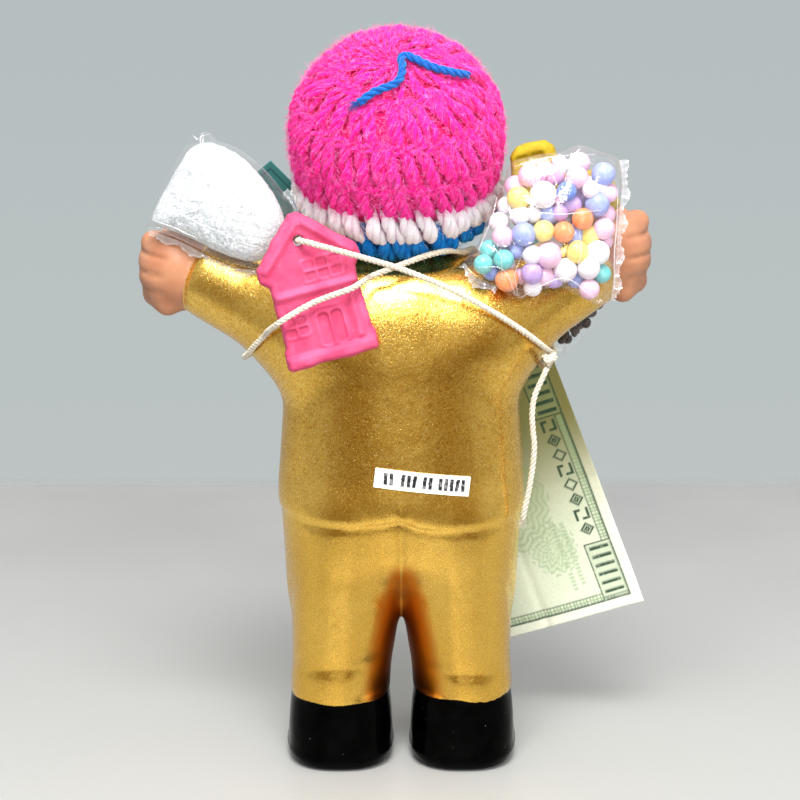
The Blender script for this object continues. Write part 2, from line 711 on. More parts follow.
def slope(field, p, e=0.03):
    result = np.empty_like(p)
    for axis in range(3):
        step = np.zeros(3)
        step[axis] = e
        result[:, axis] = (field(p + step) - field(p - step)) / (2 * e)
    return result


def settle(field, points, lift=0.0, steps=4):
    """The nearest points that lie a given height over a field's surface."""
    points = np.array(points, float)
    for _ in range(steps):
        g = slope(field, points)
        steep = np.maximum(np.einsum("ij,ij->i", g, g), 0.05)
        points += g * ((lift - field(points)) / steep)[:, None]
    return points


def grid_places(axes, spots):
    return np.stack([axes[n][spots[:, n]] for n in range(3)], 1)


def surface_nets(field, axes, band=6.0, coarse=5, projections=2):
    """Closed quad surface of a field on a grid of uneven planes: values are found only
    near the surface, and each cell that it crosses gets one point on it."""
    blocks = [max((len(line) - 1) // coarse, 1) for line in axes]
    axes = [line[: n * coarse + 1] for line, n in zip(axes, blocks)]
    size = np.array([len(line) for line in axes])
    middles = [(line[:-1:coarse] + line[coarse::coarse]) / 2 for line in axes]
    value = field(np.stack(np.meshgrid(*middles, indexing="ij"), -1).reshape(-1, 3)).reshape(blocks)
    fine = np.zeros(size, bool)
    for i, j, k in np.argwhere(np.abs(value) < band) * coarse:
        fine[i:i + coarse + 1, j:j + coarse + 1, k:k + coarse + 1] = True
    for axis in range(3):
        value = np.repeat(value, coarse, axis)
    value = np.pad(value, ((0, 1), (0, 1), (0, 1)), mode="edge")
    places = grid_places(axes, np.argwhere(fine))
    value[fine] = np.concatenate([field(part) for part in np.array_split(places, len(places) // 200000 + 1)])
    solid = value < 0
    total = np.zeros(size - 1, np.int8)
    for i, j, k in product((0, 1), repeat=3):
        total += solid[i:size[0] - 1 + i, j:size[1] - 1 + j, k:size[2] - 1 + k]
    active = (total > 0) & (total < 8)
    cells = np.argwhere(active)
    index = np.full(active.shape, -1, np.int64)
    index[active] = np.arange(len(cells))
    sums = np.zeros((len(cells), 3))
    counts = np.zeros(len(cells))
    for axis, s, t in product(range(3), (0, 1), (0, 1)):
        start = np.insert([s, t], axis, 0)
        a, b = cells + start, cells + np.insert([s, t], axis, 1)
        va, vb = value[tuple(a.T)], value[tuple(b.T)]
        cross = (va < 0) != (vb < 0)
        share = (va[cross] / (va[cross] - vb[cross]))[:, None]
        sums[cross] += grid_places(axes, a[cross]) * (1 - share) + grid_places(axes, b[cross]) * share
        counts[cross] += 1
    points = sums / counts[:, None]
    low, high = grid_places(axes, cells), grid_places(axes, cells + 1)
    for _ in range(projections):
        points = np.clip(settle(field, points, 0.0, 1), low, high)
    faces = []
    for axis, flip in product(range(3), (False, True)):
        low = [slice(0, n - 1) if axis == i else slice(1, n - 1) for i, n in enumerate(size)]
        high = [slice(1, n) if axis == i else slice(1, n - 1) for i, n in enumerate(size)]
        one, two = solid[tuple(low)], solid[tuple(high)]
        at = np.argwhere(~one & two if flip else one & ~two) + [0 if axis == i else 1 for i in range(3)]
        quad = []
        for corner in ((-1, -1), (0, -1), (0, 0), (-1, 0)):
            beside = at.copy()
            beside[:, [(axis + 1) % 3, (axis + 2) % 3]] += corner
            quad.append(index[tuple(beside.T)])
        quad = np.stack(quad, 1)
        faces.append(quad[:, ::-1] if flip else quad)
    return points, np.concatenate(faces)


def planes(*stops):
    """Grid planes from (place, cell) stops: each cell size holds from its stop on."""
    lines = [[stops[0][0]]]
    for (start, cell), (end, _) in zip(stops, stops[1:]):
        count = max(int(round((end - start) / cell)), 1)
        lines.append(np.linspace(start, end, count + 1)[1:])
    return np.concatenate(lines)


# Painted cast
EYE = np.array([8.0, -26.0, 144.0])
EYE_RADII = np.array([3.1, 3.0, 1.55])
IRIS = (7.8, 144.1)
SHIRT_FOOT = 101.5
FRONT_ONLY = 5
BLUSH = np.array([11.0, -23.0, 137.5])


def zones(p):
    """How far each point is inside each painted zone, in millimetres."""
    x, y, z = p[:, 0] - HEAD_CENTRE[0], p[:, 1], p[:, 2]
    q = folded(p, HEAD_CENTRE[0])
    off_middle = np.abs(p[:, 0] - BODY_X)
    cloth = trim(p, clothes(p))
    skin = cloth - np.minimum(np.minimum(hand(p, "left"), hand(p, "right")), head(q))
    shoe = np.minimum(trouser_hem(p) - z, cloth - shoes(p) + 0.05)
    temple = np.minimum(np.minimum(q[:, 0] - 16.6, z - 133.2), -y - 4)
    fringe = z - 151.2 - 0.35 * np.sin(1.7 * x + 1) - 0.2 * np.sin(4.3 * x)
    hair = np.minimum(np.maximum(np.maximum(fringe, temple), y + 9.5), 1.0 - skull(q))
    eye = -ellipsoid(q, EYE, EYE_RADII)
    from_iris = np.hypot(q[:, 0] - IRIS[0], z - IRIS[1])
    lash = 0.35 - np.abs(ellipsoid(q, EYE, EYE_RADII + [0.1, 0, 0.15]))
    lips = 0.25 - np.minimum(ellipsoid(q, *UPPER_LIP), ellipsoid(q, *LOWER_LIP))
    opening = np.minimum(z - SHIRT_FOOT, 8.5 - off_middle + 0.2 * (z - SHIRT_FOOT))
    shirt = np.minimum(np.minimum(lapel_cover(off_middle, z) + 0.3, 3.0), opening)
    button = np.max([2.1 - np.hypot(off_middle, z - height) for height in BUTTON_HEIGHTS], axis=0)
    spread = 4.8 + 3.6 * inside(z, 32, 50) + 1.4 * smooth_step(-p[:, 0], -1, 1)
    gap = np.maximum(profile(LEG_X, z) - profile(LEG_HALF_WIDTH, z), 0)
    return {
        "skin": skin, "shoe": shoe, "hair": hair, "eye": eye,
        "iris": np.minimum(1.5 - from_iris, eye - 0.05), "pupil": np.minimum(0.75 - from_iris, eye - 0.05),
        "glint": 0.32 - np.hypot(x + 0.45 - IRIS[0] * np.sign(x), z - 144.65),
        "lash": np.minimum(lash, z - 144.3), "lips": lips,
        "brow": 0.25 - brows(q), "moustache": 0.3 - moustache(q),
        "shirt": np.minimum(shirt, -y - FRONT_ONLY), "button": np.minimum(button, -y - FRONT_ONLY),
        "blush": hump(np.linalg.norm(q - BLUSH, axis=1), 0, 4.2),
        "between": inside(off_middle - gap, 0.1 * spread, spread) * inside(z, 46, 56),
    }


def gold_paint(g, up, grey, patch, grainy, between):
    """Bronze flakes in a clear binder, browner between the legs."""
    fine, coarse = grey
    gold = g.mottled(0.045, 3, tone(230, 184, 80), tone(240, 197, 94), 0.35, 0.68, 0.55)
    gold = g.blend(g.ramp(patch, 0.5, 0.75, 0, 0.4), gold, tone(220, 164, 62))
    dull = g.times(g.ramp(coarse, 0.0, 0.45, 0.5, 0.0), grainy)
    sparkle = g.times(g.ramp(g.times(fine, coarse), 0.5, 0.9), 0.5, grainy)
    worn = g.times(g.ramp(g.noise(1.6, 3, 0.6), 0.74, 0.8), 0.35)
    orange = g.ramp(between, 0.0, 0.7, 0, 0.9)
    brown = g.times(g.ramp(between, 0.65, 1.0), g.ramp(up, 34, 46, 0.75, 0.3))
    burnt = g.times(g.ramp(between, 0.35, 0.8), g.ramp(up, 17, 27, 0.9, 0))
    for share, colour in (
        (dull, tone(190, 128, 40)), (sparkle, tone(255, 236, 176)), (worn, tone(150, 104, 44)),
        (g.ramp(up, 52, 66, 0.3, 0), tone(190, 146, 56)), (orange, tone(208, 116, 0)),
        (brown, tone(122, 50, 0)), (burnt, tone(40, 18, 4)),
    ):
        gold = g.blend(share, gold, colour)
    return gold


def face_paint(g, zone, dark):
    """Skin with its pits and blush, then lips, eyes and hair."""
    skin = g.mottled(0.12, 3, tone(164, 108, 78), tone(178, 124, 92), 0.3, 0.7)
    pits = g.times(g.ramp(g.cells(0.8), 0.02, 0.12, 1, 0), 0.25)
    eye = g.blend(zone("iris"), tone(238, 234, 226), tone(74, 42, 24))
    eye = g.blend(zone("pupil"), eye, tone(14, 11, 10))
    eye = g.blend(zone("glint", 0.08), eye, tone(250, 250, 248))
    black = g.mottled(0.6, 4, tone(12, 11, 11), tone(26, 24, 23))
    for share, colour in (
        (pits, tone(200, 122, 84)), (g.ramp(g.value("blush"), 0.0, 1.0, 0, 0.45), tone(222, 110, 92)),
        (zone("lips", 0.15), tone(186, 62, 58)), (zone("eye"), eye), (zone("lash", 0.1), tone(24, 17, 14)),
        (dark, black),
    ):
        skin = g.blend(share, skin, colour)
    return skin


def paint_material():
    g = Graph("painted_cast", **{"Coat Roughness": 0.3})
    wander = g.times(g.math("SUBTRACT", g.noise(0.9, 3), 0.5), 0.5)

    def zone(name, width=0.12, rough=0.0):
        value = g.value(name)
        if rough:
            value = g.math("ADD", value, g.times(wander, rough))
        return g.ramp(value, -width, width)

    fine = g.add("SeparateColor", {"Color": g.cells(4.2, "Color")}).outputs[0]
    coarse = g.add("SeparateColor", {"Color": g.cells(2.4, "Color")}).outputs[1]
    parts = g.add("SeparateXYZ", {"Vector": g.place()}).outputs
    across = g.math("ABSOLUTE", g.math("SUBTRACT", parts["X"], BODY_X))
    grainy = g.ramp(parts["Z"], 58, 80, 0.25, 1.0)
    patch = g.noise(0.35, 4, 0.6)
    seam = g.ramp(across, 0.1, 0.5, 0.4, 1.0)
    between = g.times(g.value("between"), seam)
    gold = gold_paint(g, parts["Z"], (fine, coarse), patch, grainy, between)

    dark = g.most(zone("hair", 0.15, 0.5), zone("brow", 0.15), zone("moustache", 0.15))
    cloth = g.mottled(0.2, 3, tone(226, 224, 216), tone(240, 238, 232))
    button = g.mottled(0.8, 2, tone(40, 30, 26), tone(60, 46, 38), 0.4, 0.6)
    specks = g.times(g.ramp(g.cells(0.55), 0.05, 0.09, 1, 0), g.ramp(g.noise(0.35, 2), 0.5, 0.62), 0.5)
    shoe = g.mottled(0.15, 4, tone(0, 0, 0), tone(3, 3, 3), roughness=0.6)
    shoe = g.blend(specks, shoe, tone(120, 118, 116))

    is_skin = zone("skin", 0.15, 0.6)
    is_shoe = zone("shoe", 0.12, 0.5)
    is_shirt = zone("shirt", 0.12, 0.4)
    is_button = zone("button")
    colour = gold
    for share, paint in ((is_shirt, cloth), (is_button, button), (is_skin, face_paint(g, zone, dark)),
                         (is_shoe, shoe)):
        colour = g.blend(share, colour, paint)
    painted = g.math("MAXIMUM", g.most(is_skin, is_shoe), g.most(is_shirt, is_button))
    gloss_gold = g.ramp(g.math("ADD", g.times(patch, 0.5), g.times(fine, 0.5)), 0.25, 0.75, 0.20, 0.29)
    gloss_shoe = g.ramp(g.noise(0.5, 4, 0.6), 0.3, 0.7, 0.12, 0.22)
    rough = g.either(g.most(is_skin, is_shirt), gloss_gold, g.ramp(patch, 0.3, 0.7, 0.36, 0.5))
    rough = g.either(g.ramp(between, 0.0, 0.5), rough, 0.5)
    g.set({"Base Color": colour, "Metallic": g.ramp(painted, 0, 1, 0.98, 0.0, smooth=False),
           "Roughness": g.either(g.most(is_shoe, dark), rough, gloss_shoe),
           "Specular IOR Level": g.either(is_shoe, 0.35, 0.03), "Coat Weight": g.either(painted, 0.12, 0.0)})

    grain = g.math("ADD", g.noise(2.6, 3, 0.65), g.times(coarse, 0.6))
    unpainted = g.ramp(g.math("SUBTRACT", 1.0, painted), 0, 1, 0.3, 1.0)
    normal = g.bump(g.times(grain, unpainted, grainy), 0.30, 0.00008)
    g.set({"Normal": g.bump(g.noise(0.22, 3), 0.25, 0.0006, Normal=normal)})
    return g.material


def paint_figure():
    points, faces = surface_nets(figure, [
        planes((-66, 0.9), (-13, 0.65), (14, 0.9), (66.5, 0)),
        planes((-36, 0.65), (-14, 0.9), (26, 0)),
        planes((-3, 0.9), (122, 0.65), (154, 1.1), (180, 0)),
    ])
    body = make_mesh("figure_cast", points, faces, zones(points))
    finish_piece(body, paint_material(), "painted_cast", "figure")


paint_figure()


# The tied string
STRING_ROUTE = [
    (23.4, 16.6, 130.3), (22.4, 22.4, 131.1), (20.6, 23.5, 130.9), (17.9, 23.5, 130.1), (13.4, 23.0, 128.8),
    (8.9, 22.1, 127.4), (4.8, 20.6, 126.0), (0.5, 19.3, 124.5), (-3.9, 18.9, 122.8), (-8.3, 18.8, 121.0),
    (-12.6, 18.6, 119.0), (-16.7, 18.2, 116.8), (-20.8, 17.5, 114.4), (-24.7, 16.6, 111.9),
    (-28.5, 15.4, 109.2), (-31.8, 13.3, 106.5), (-34.2, 10.1, 104.1), (-35.9, 6.1, 102.3),
    (-37.0, 1.6, 101.3), (-37.2, -3.2, 101.2), (-36.2, -8.0, 102.1), (-33.8, -12.1, 103.8),
    (-30.5, -14.9, 106.5), (-27.2, -16.3, 109.9), (-24.1, -16.5, 113.4), (-21.3, -15.1, 117.0),
    (-19.3, -12.4, 120.6), (-18.6, -8.2, 123.6), (-17.6, -3.2, 125.3), (-16.0, 1.7, 125.5),
    (-13.6, 5.8, 126.4), (-10.9, 9.7, 126.9), (-6.8, 13.2, 126.5), (-2.2, 15.4, 125.2), (2.3, 16.8, 123.7),
    (6.2, 16.9, 122.2), (8.0, 20.2, 121.6), (10.6, 23.4, 120.4), (14.8, 24.2, 119.0), (19.3, 24.5, 117.3),
    (23.4, 25.4, 115.2), (27.0, 25.9, 113.0), (29.2, 22.7, 110.9), (30.2, 18.2, 109.5), (31.2, 13.9, 107.8),
    (33.5, 11.0, 105.1), (35.5, 7.2, 102.3), (36.8, 2.3, 100.5), (36.6, -3.2, 99.7), (34.9, -8.1, 100.2),
    (31.9, -11.6, 100.8), (28.5, -14.9, 100.2), (24.7, -17.6, 99.6), (20.4, -19.7, 99.2),
    (16.0, -21.2, 98.9), (11.3, -22.3, 98.6), (6.6, -22.9, 98.6), (1.9, -23.0, 98.6), (-2.8, -22.8, 98.7),
    (-7.6, -22.5, 98.9), (-12.3, -22.0, 99.3), (-16.9, -21.1, 99.7), (-21.3, -19.4, 99.8),
    (-25.2, -16.8, 99.4), (-28.8, -13.7, 99.0), (-31.7, -9.9, 98.5), (-33.6, -5.7, 97.8),
    (-34.6, -1.0, 97.6), (-35.2, 4.6, 98.6), (-35.6, 9.0, 100.6), (-35.5, 11.4, 101.6),
]
STRING_LIFT = 0.85
KNOT_PLACE = np.array([-35.4, 11.4, 101.9])


KNOT_RADIUS = 1.05
KNOT_TURNS = 2.15
KNOT_LEAN = np.array([[0.9, 0.0, 0.42], [0.1, 0.97, -0.2], [-0.42, 0.22, 0.88]])
STRING_HAIRS = 420


def tie_string():
    rng = np.random.default_rng(21)
    line = spline(STRING_ROUTE, 0.35)
    sunk = figure(line) < STRING_LIFT
    line[sunk] = settle(figure, line[sunk], STRING_LIFT, 3)
    for _ in range(6):
        line[1:-1] = (line[:-2] + 2 * line[1:-1] + line[2:]) / 4
    finish_piece(make_mesh("string_plies", *plied(line, 0.38, 0.37, 3.4)), cotton, "string", "string")
    # knot: the string turns round its own two parts, pulled tight
    turn = np.linspace(0, 2 * np.pi * KNOT_TURNS, 70)
    climb = 0.75 * np.sin(turn * 0.5) + 0.15 * turn - 1
    wrap = np.stack([KNOT_RADIUS * np.cos(turn), KNOT_RADIUS * np.sin(turn), climb], 1)
    knot_line = spline((wrap @ KNOT_LEAN.T + KNOT_PLACE)[::5], 0.3)
    knot = make_mesh("string_knot_turns", *plied(knot_line, 0.4, 0.38, 3.6))
    finish_piece(knot, cotton, "string_knot", "string_knot")
    spots = rng.integers(4, len(line) - 4, STRING_HAIRS)
    out = unit(rng.normal(size=(STRING_HAIRS, 3)))
    hair = fibres(line[spots] + out * 0.62, out + unit(line[spots + 2] - line[spots]),
                  0.5 + 1.1 * rng.random(STRING_HAIRS), 0.028, rng)
    finish_piece(make_mesh("string_fuzz", *hair), cotton, "string")


tie_string()


# Crocheted cap
HAT_RADIUS = 24.6
HAT_DOWN = np.array([0, math.cos(CAP_LEAN), -math.sin(CAP_LEAN)])
QUARTER = HAT_RADIUS * math.pi / 2
SIDE_STRETCH = 8.0
# rounds: first and last distance from the crown along the wool, stitches, turn
PINK_ROUNDS = [(0.6, 11.2, 12, 0.1), (11.2, 21.0, 24, 0.35), (21.0, 30.6, 36, 0.15), (30.6, 39.4, 36, 0.6)]
WHITE_ROUND = (39.6, 48.0, 36, 0.3)
BLUE_ROUND = (47.0, 55.6, 36, 0.75)
# chains: distance from the crown, loops, turn
CHAINS = [(11.2, 24, 0.3), (21.0, 36, 0.1), (30.6, 36, 0.5)]
# loose hairs: first and last distance from the crown, number
FUZZ = {"pink": (0.5, 40.5, 30000), "white": (40.0, 48.0, 5500), "blue": (46.5, 55.5, 5500)}
# wool: body, hollows, bright hairs
WOOLS = {
    "pink": (tone(255, 26, 154), tone(238, 0, 92), tone(255, 146, 222)),
    "white": (tone(255, 250, 254), tone(255, 208, 236), tone(255, 255, 255)),
    "blue": (tone(8, 122, 212), tone(2, 66, 150), tone(70, 178, 242)),
}
STRANDS = 4
STITCH_STEPS = 12
LINING_ROWS, LINING_COLUMNS = 40, 72
HAIR_WIDTH = 0.075
HAIR_CURL = 0.5
HAIR_BENDS = 3


def on_hat(turn, down, lift):
    """Point on the cap: turn round its axis, distance from the crown, height."""
    turn, down, lift = np.broadcast_arrays(turn, down, lift)
    down = down + SIDE_STRETCH * np.cos(turn) ** 2 * np.sin(np.pi * np.minimum(down / 56, 1) ** 2)
    polar = np.minimum(down, QUARTER) / HAT_RADIUS
    below = np.maximum(down - QUARTER, 0)
    lift = lift - 1.2 * smooth_step(down, 22, 46) - 1.6 * smooth_step(down, 38, 55)
    ring = np.cos(turn)[..., None] * [-1.0, 0, 0] + np.sin(turn)[..., None] * HAT_DOWN
    out = np.sin(polar)[..., None] * ring + np.cos(polar)[..., None] * CAP_AXIS
    place = HEAD_CENTRE + (HAT_RADIUS + lift)[..., None] * out - below[..., None] * CAP_AXIS
    return place, out


def tubes(lines, outs, radii, sides, phase=0.0):
    """Many open tubes at once: lines and outs are (tube, step, 3), radii (tube, step)."""
    count, steps = lines.shape[:2]
    tangent = unit(np.gradient(lines, axis=1))
    across = unit(np.cross(tangent, outs))
    over = np.cross(across, tangent)
    angle = np.linspace(0, 2 * np.pi, sides, endpoint=False)
    angle = angle + np.broadcast_to(phase, (count, steps))[..., None]
    reach = radii[..., None]
    ring = lines[:, :, None] + (reach * np.cos(angle))[..., None] * over[:, :, None]
    ring = ring + (reach * np.sin(angle))[..., None] * across[:, :, None]
    along = distance_along(lines) + 17.3 * np.arange(count)[:, None]
    around = np.abs(np.linspace(-1, 1, sides, endpoint=False)) * np.pi * radii.mean()
    return ring.reshape(-1, 3), grid_faces(count, steps, sides, True), {
        "top": np.cos(angle).ravel(), "along": np.repeat(along, sides),
        "around": np.tile(around, count * steps),
    }


def post_lines(round_spec, rng, slant, bulge, spread, twist, reach, base):
    """Centre lines of the twisted strands of each stitch in a round."""
    first, last, count, turn = round_spec
    t = np.linspace(0, 1, STITCH_STEPS)[None, :]

    def varied(amount, shape=(count, 1)):
        return amount * rng.normal(size=shape)

    pitch = 2 * np.pi / count
    middle = pitch * (np.arange(count)[:, None] + turn + varied(0.12))
    lean = slant * (1 + varied(0.2))
    start = rng.random(count)[:, None]
    swell = np.sin(np.pi * t ** 1.2) ** 0.55
    width = spread * (0.7 + 0.3 * swell)
    lines, outs = [], []
    for strand in range(STRANDS):
        swing = 2 * np.pi * (twist * t + strand / STRANDS + start) + varied(0.35)
        down = first + reach[0] + (last - first + reach[1] - reach[0]) * t + varied(0.35)
        radius = HAT_RADIUS * np.sin(np.minimum(down, QUARTER) / HAT_RADIUS)
        side = -lean * (t - 0.5) * pitch + width * np.sin(swing) / np.maximum(radius, 2.0)
        lift = base + bulge * swell + 0.6 * width * np.cos(swing) + varied(0.14)
        place, out = on_hat(middle + side, down, lift)
        lines.append(place)
        outs.append(out)
    return np.concatenate(lines), np.concatenate(outs), np.repeat(swell, count * STRANDS, 0)


def wisps(starts, outs, ways, lengths, rng, lift=0.5):
    """Loose hairs of the wool as narrow bent ribbons lying near the surface."""
    count, steps = len(starts), HAIR_BENDS + 1
    lines = np.empty((count, steps, 3))
    lines[:, 0] = starts
    heading = unit(ways + outs * (lift * np.abs(rng.normal(size=(count, 1)))))
    for bend in range(HAIR_BENDS):
        lines[:, bend + 1] = lines[:, bend] + heading * (lengths / HAIR_BENDS)[:, None]
        heading = unit(heading + HAIR_CURL * rng.normal(size=(count, 3)) - outs * (0.5 * lift))
    tilted = outs[:, None] + 0.5 * rng.normal(size=(count, 1, 3))
    across = unit(np.cross(unit(np.gradient(lines, axis=1)), tilted))
    half = 0.5 * HAIR_WIDTH * np.linspace(1, 0.4, steps)[None, :, None] * across
    points = np.stack([lines - half, lines + half], 2).reshape(-1, 3)
    return points, grid_faces(count, steps, 2), np.repeat(rng.random(count), steps * 2)


def yarn_colour(g, body, pocket, sheen):
    """Colour and height of brushed wool: fine strands along each ply, dark between."""
    spot = {"X": g.times(g.value("along"), 0.5), "Y": g.times(g.value("around"), 3.6), "Z": 0.0}
    strands = g.noise(1.0, 4, 0.65, g.add("CombineXYZ", spot).outputs[0], 0.4)
    fuzz = g.noise(3.2, 3, 0.7)
    colour = g.blend(g.ramp(g.value("top"), -0.3, 0.75), pocket, body)
    for share, shade in (
        (g.ramp(strands, 0.5, 0.32, 0, 0.7), pocket), (g.ramp(strands, 0.53, 0.66, 0, 0.7), sheen),
        (g.ramp(g.noise(0.5, 3, 0.6), 0.5, 0.75, 0, 0.3), pocket), (g.ramp(fuzz, 0.58, 0.74, 0, 0.4), sheen),
        (g.ramp(g.value("hair"), 0.35, 1.0, 0, 0.9), sheen),
    ):
        colour = g.blend(share, colour, shade)
    return colour, g.math("ADD", strands, g.times(fuzz, 0.6))


def yarn_material(name, tones, under=None):
    g = Graph(name, **{"Roughness": 0.85, "Sheen Weight": 0.3, "Sheen Roughness": 0.5,
                       "Specular IOR Level": 0.2, "Sheen Tint": tones[2]})
    colour, height = yarn_colour(g, *tones)
    if under:
        colour = g.blend(g.ramp(g.value("depth"), 0.4, 0.6), colour, yarn_colour(g, *under)[0])
    g.set({"Base Color": colour, "Normal": g.bump(height, 0.9, 0.0006)})
    return g.material


def line_hat():
    """A closed shell of wool inside the stitches."""
    turns = np.linspace(0, 2 * np.pi, LINING_COLUMNS, endpoint=False)
    downs = np.linspace(0.4, 54.6, LINING_ROWS)
    outer, _ = on_hat(turns[None, :], downs[:, None], -0.6)
    inner, _ = on_hat(turns[None, :], downs[::-1, None], -1.7)
    points = np.concatenate([outer, inner]).reshape(-1, 3)
    rows = 2 * LINING_ROWS
    down_at = np.repeat(np.concatenate([downs, downs[::-1]]), LINING_COLUMNS)
    lining = make_mesh("hat_lining", points, grid_faces(1, rows, LINING_COLUMNS, True)[:, ::-1], {
        "top": np.full(len(points), -0.4), "along": np.tile(turns * 20, rows),
        "around": np.repeat(np.arange(rows) * 0.7, LINING_COLUMNS),
        "depth": smooth_step(down_at, 42.5, 44.5)})
    finish_piece(lining, yarn_material("wool_lining", WOOLS["pink"], WOOLS["blue"]), "cap_yarn", "hat")


def crochet(rng):
    """The stitches of each colour, as parts for join_parts."""
    turning = np.linspace(0, 4.0, STITCH_STEPS)[None, :]
    pink = []
    for spec in PINK_ROUNDS:
        lines, outs, swell = post_lines(spec, rng, 0.75, 1.5, 1.05, 1.2, (-0.6, 0.9), -0.7)
        from_crown = np.linspace(0.35 if spec is PINK_ROUNDS[0] else 1.0, 1.0, STITCH_STEPS)
        pink.append(tubes(lines, outs, (0.56 + 0.22 * swell) * from_crown, 7, turning))
    for first, count, turn in CHAINS:
        way = np.linspace(0, 2 * np.pi, count * 6 + 1)
        for side in (-1, 1):
            wave = np.sin(count * way + turn + 0.5 * side)
            lift = 0.55 + 0.4 * np.cos(count * way + side)
            place, out = on_hat(way, first + 0.8 + side * 0.6 + 0.4 * wave, lift)
            pink.append(tubes(place[None], out[None], np.full((1, len(way)), 0.62), 7))
    lines, outs, swell = post_lines(WHITE_ROUND, rng, 0.8, 2.5, 1.15, 0.6, (-1.6, 0.8), -0.5)
    white = tubes(lines, outs, 0.7 + 0.42 * swell, 8, turning)
    lines, outs, swell = post_lines(BLUE_ROUND, rng, 0.9, 2.3, 1.2, 0.7, (-3.6, 0.0), -0.5)
    blue = tubes(lines, outs, 0.62 + 0.4 * swell, 8, turning)
    return {"pink": pink, "white": [white], "blue": [blue]}


def fuzz(name, rng):
    """Loose hairs over one colour's rounds."""
    low, high, number = FUZZ[name]
    turn = 2 * np.pi * rng.random(number)
    share = rng.random(number)
    down = np.arccos(1 - share) * HAT_RADIUS if name == "pink" else low + (high - low) * share
    place, out = on_hat(turn, down, 0.9 + 1.1 * rng.random(number))
    ahead, _ = on_hat(turn - 0.035, down + 1.0, 1.0)
    behind, _ = on_hat(turn, down, 1.0)
    way = unit(ahead - behind) + 0.9 * rng.normal(size=(number, 3))
    points, faces, shade = wisps(place, out, way, 0.8 + 1.5 * rng.random(number) ** 2, rng)
    return points, faces, {"top": 0.3 + 0.7 * shade, "along": 90 * shade, "around": 40 * shade,
                           "hair": (shade * 7.3) % 1}


def build_hat():
    line_hat()
    rng = np.random.default_rng(31)
    materials = {name: yarn_material("wool_" + name, tones) for name, tones in WOOLS.items()}
    for name, parts in crochet(rng).items():
        finish_piece(make_mesh("hat_" + name + "_stitches", *join_parts(parts)), materials[name], "cap_yarn")
    for name in WOOLS:
        finish_piece(make_mesh("hat_" + name + "_fuzz", *fuzz(name, rng)), materials[name], "cap_yarn")


build_hat()


# Film bags
FILM_AROUND = 120
FILM_RINGS = 16
FILM_RIM = 0.5
PILLOW_POWER = 0.42
FILM_WAVES = {1: (3.1, 4.3, 6.1, 8.7), -1: (3.5, 4.9, 6.6, 9.4)}
FILM_CRINKLE = 0.055
FRILL_WIDTH = 1.6
FRILL_FOLDS = (0.2, 0.7, 0.35, 0.55, 1.0)


def spin(degrees, a, b):
    """Rotation from axis a towards axis b."""
    matrix = np.eye(3)
    matrix[[a, b], [a, b]] = math.cos(math.radians(degrees))
    matrix[b, a] = math.sin(math.radians(degrees))
    matrix[a, b] = -matrix[b, a]
    return matrix


def back_frame(place, turn, pitch=0.0, yaw=0.0):
    """Axes of a piece seen from behind: right, up and outward, and its origin."""
    base = np.array([[-1.0, 0, 0], [0, 0, 1], [0, 1, 0]])
    return base @ spin(yaw, 2, 0) @ spin(pitch, 1, 2) @ spin(turn, 0, 1), np.array(place, float)


def from_frame(local, frame_pair):
    axes, place = frame_pair
    return np.asarray(local, float) @ axes.T + place


def closed_outline(corners, around):
    """Evenly spaced points round a smooth closed curve through the corners."""
    knots = np.column_stack([np.asarray(corners, float), np.zeros(len(corners))])
    loop = through(np.array([knots[-1], *knots, knots[0], knots[1]]))
    return resample(loop, distance_along(loop)[-1] / around)[:around, :2]


def crinkle(xy, rng, waves, amount):
    """Sum of folded straight waves: flat facets that meet in sharp creases."""
    height = np.zeros(len(xy))
    for length in waves:
        way = rng.random() * 2 * np.pi
        bent = xy @ [math.cos(way), math.sin(way)] + 0.6 * np.sin(xy[:, 1] / 5 + 6 * rng.random())
        phase = bent / length + rng.random()
        height += amount * length * (np.abs((phase % 1) * 2 - 1) - 0.5)
    return height


def pouch(corners, thickness, rim, around, rings, relief):
    """A pillow over an outline: rounds from the rim to both middles."""
    outline = closed_outline(corners, around)
    middle = outline.mean(0)
    share = np.sin(np.pi / 2 * np.linspace(0.0, 1.0, rings + 1)[1:])
    flat = (middle + (outline[None] - middle) * share[:, None, None]).reshape(-1, 2)
    pillow = np.repeat(rim + thickness * (1 - share ** 2) ** PILLOW_POWER, around) / 2
    fade = np.repeat(np.clip((1 - share) * 3 + 0.25, 0, 1), around)
    sheets = [np.column_stack([flat, side * (pillow + relief(flat, side) * fade)]) for side in (1, -1)]
    tip = (thickness + rim) / 2
    points = np.concatenate([*sheets, [[*middle, tip], [*middle, -tip]]])
    layer = rings * around
    quad = grid_faces(1, rings, around, True)[:, TURNED]
    a = np.arange(0, around, 2)
    cap = np.stack([np.full_like(a, 2 * layer), a, (a + 1) % around, (a + 2) % around], 1)
    last = layer - around + np.arange(around)
    after = np.roll(last, -1)
    rim_wall = np.stack([last, last + layer, after + layer, after], 1)
    return points, np.concatenate([
        quad, cap, quad[:, ::-1] + layer, (cap + [1, layer, layer, layer])[:, ::-1], rim_wall,
    ])


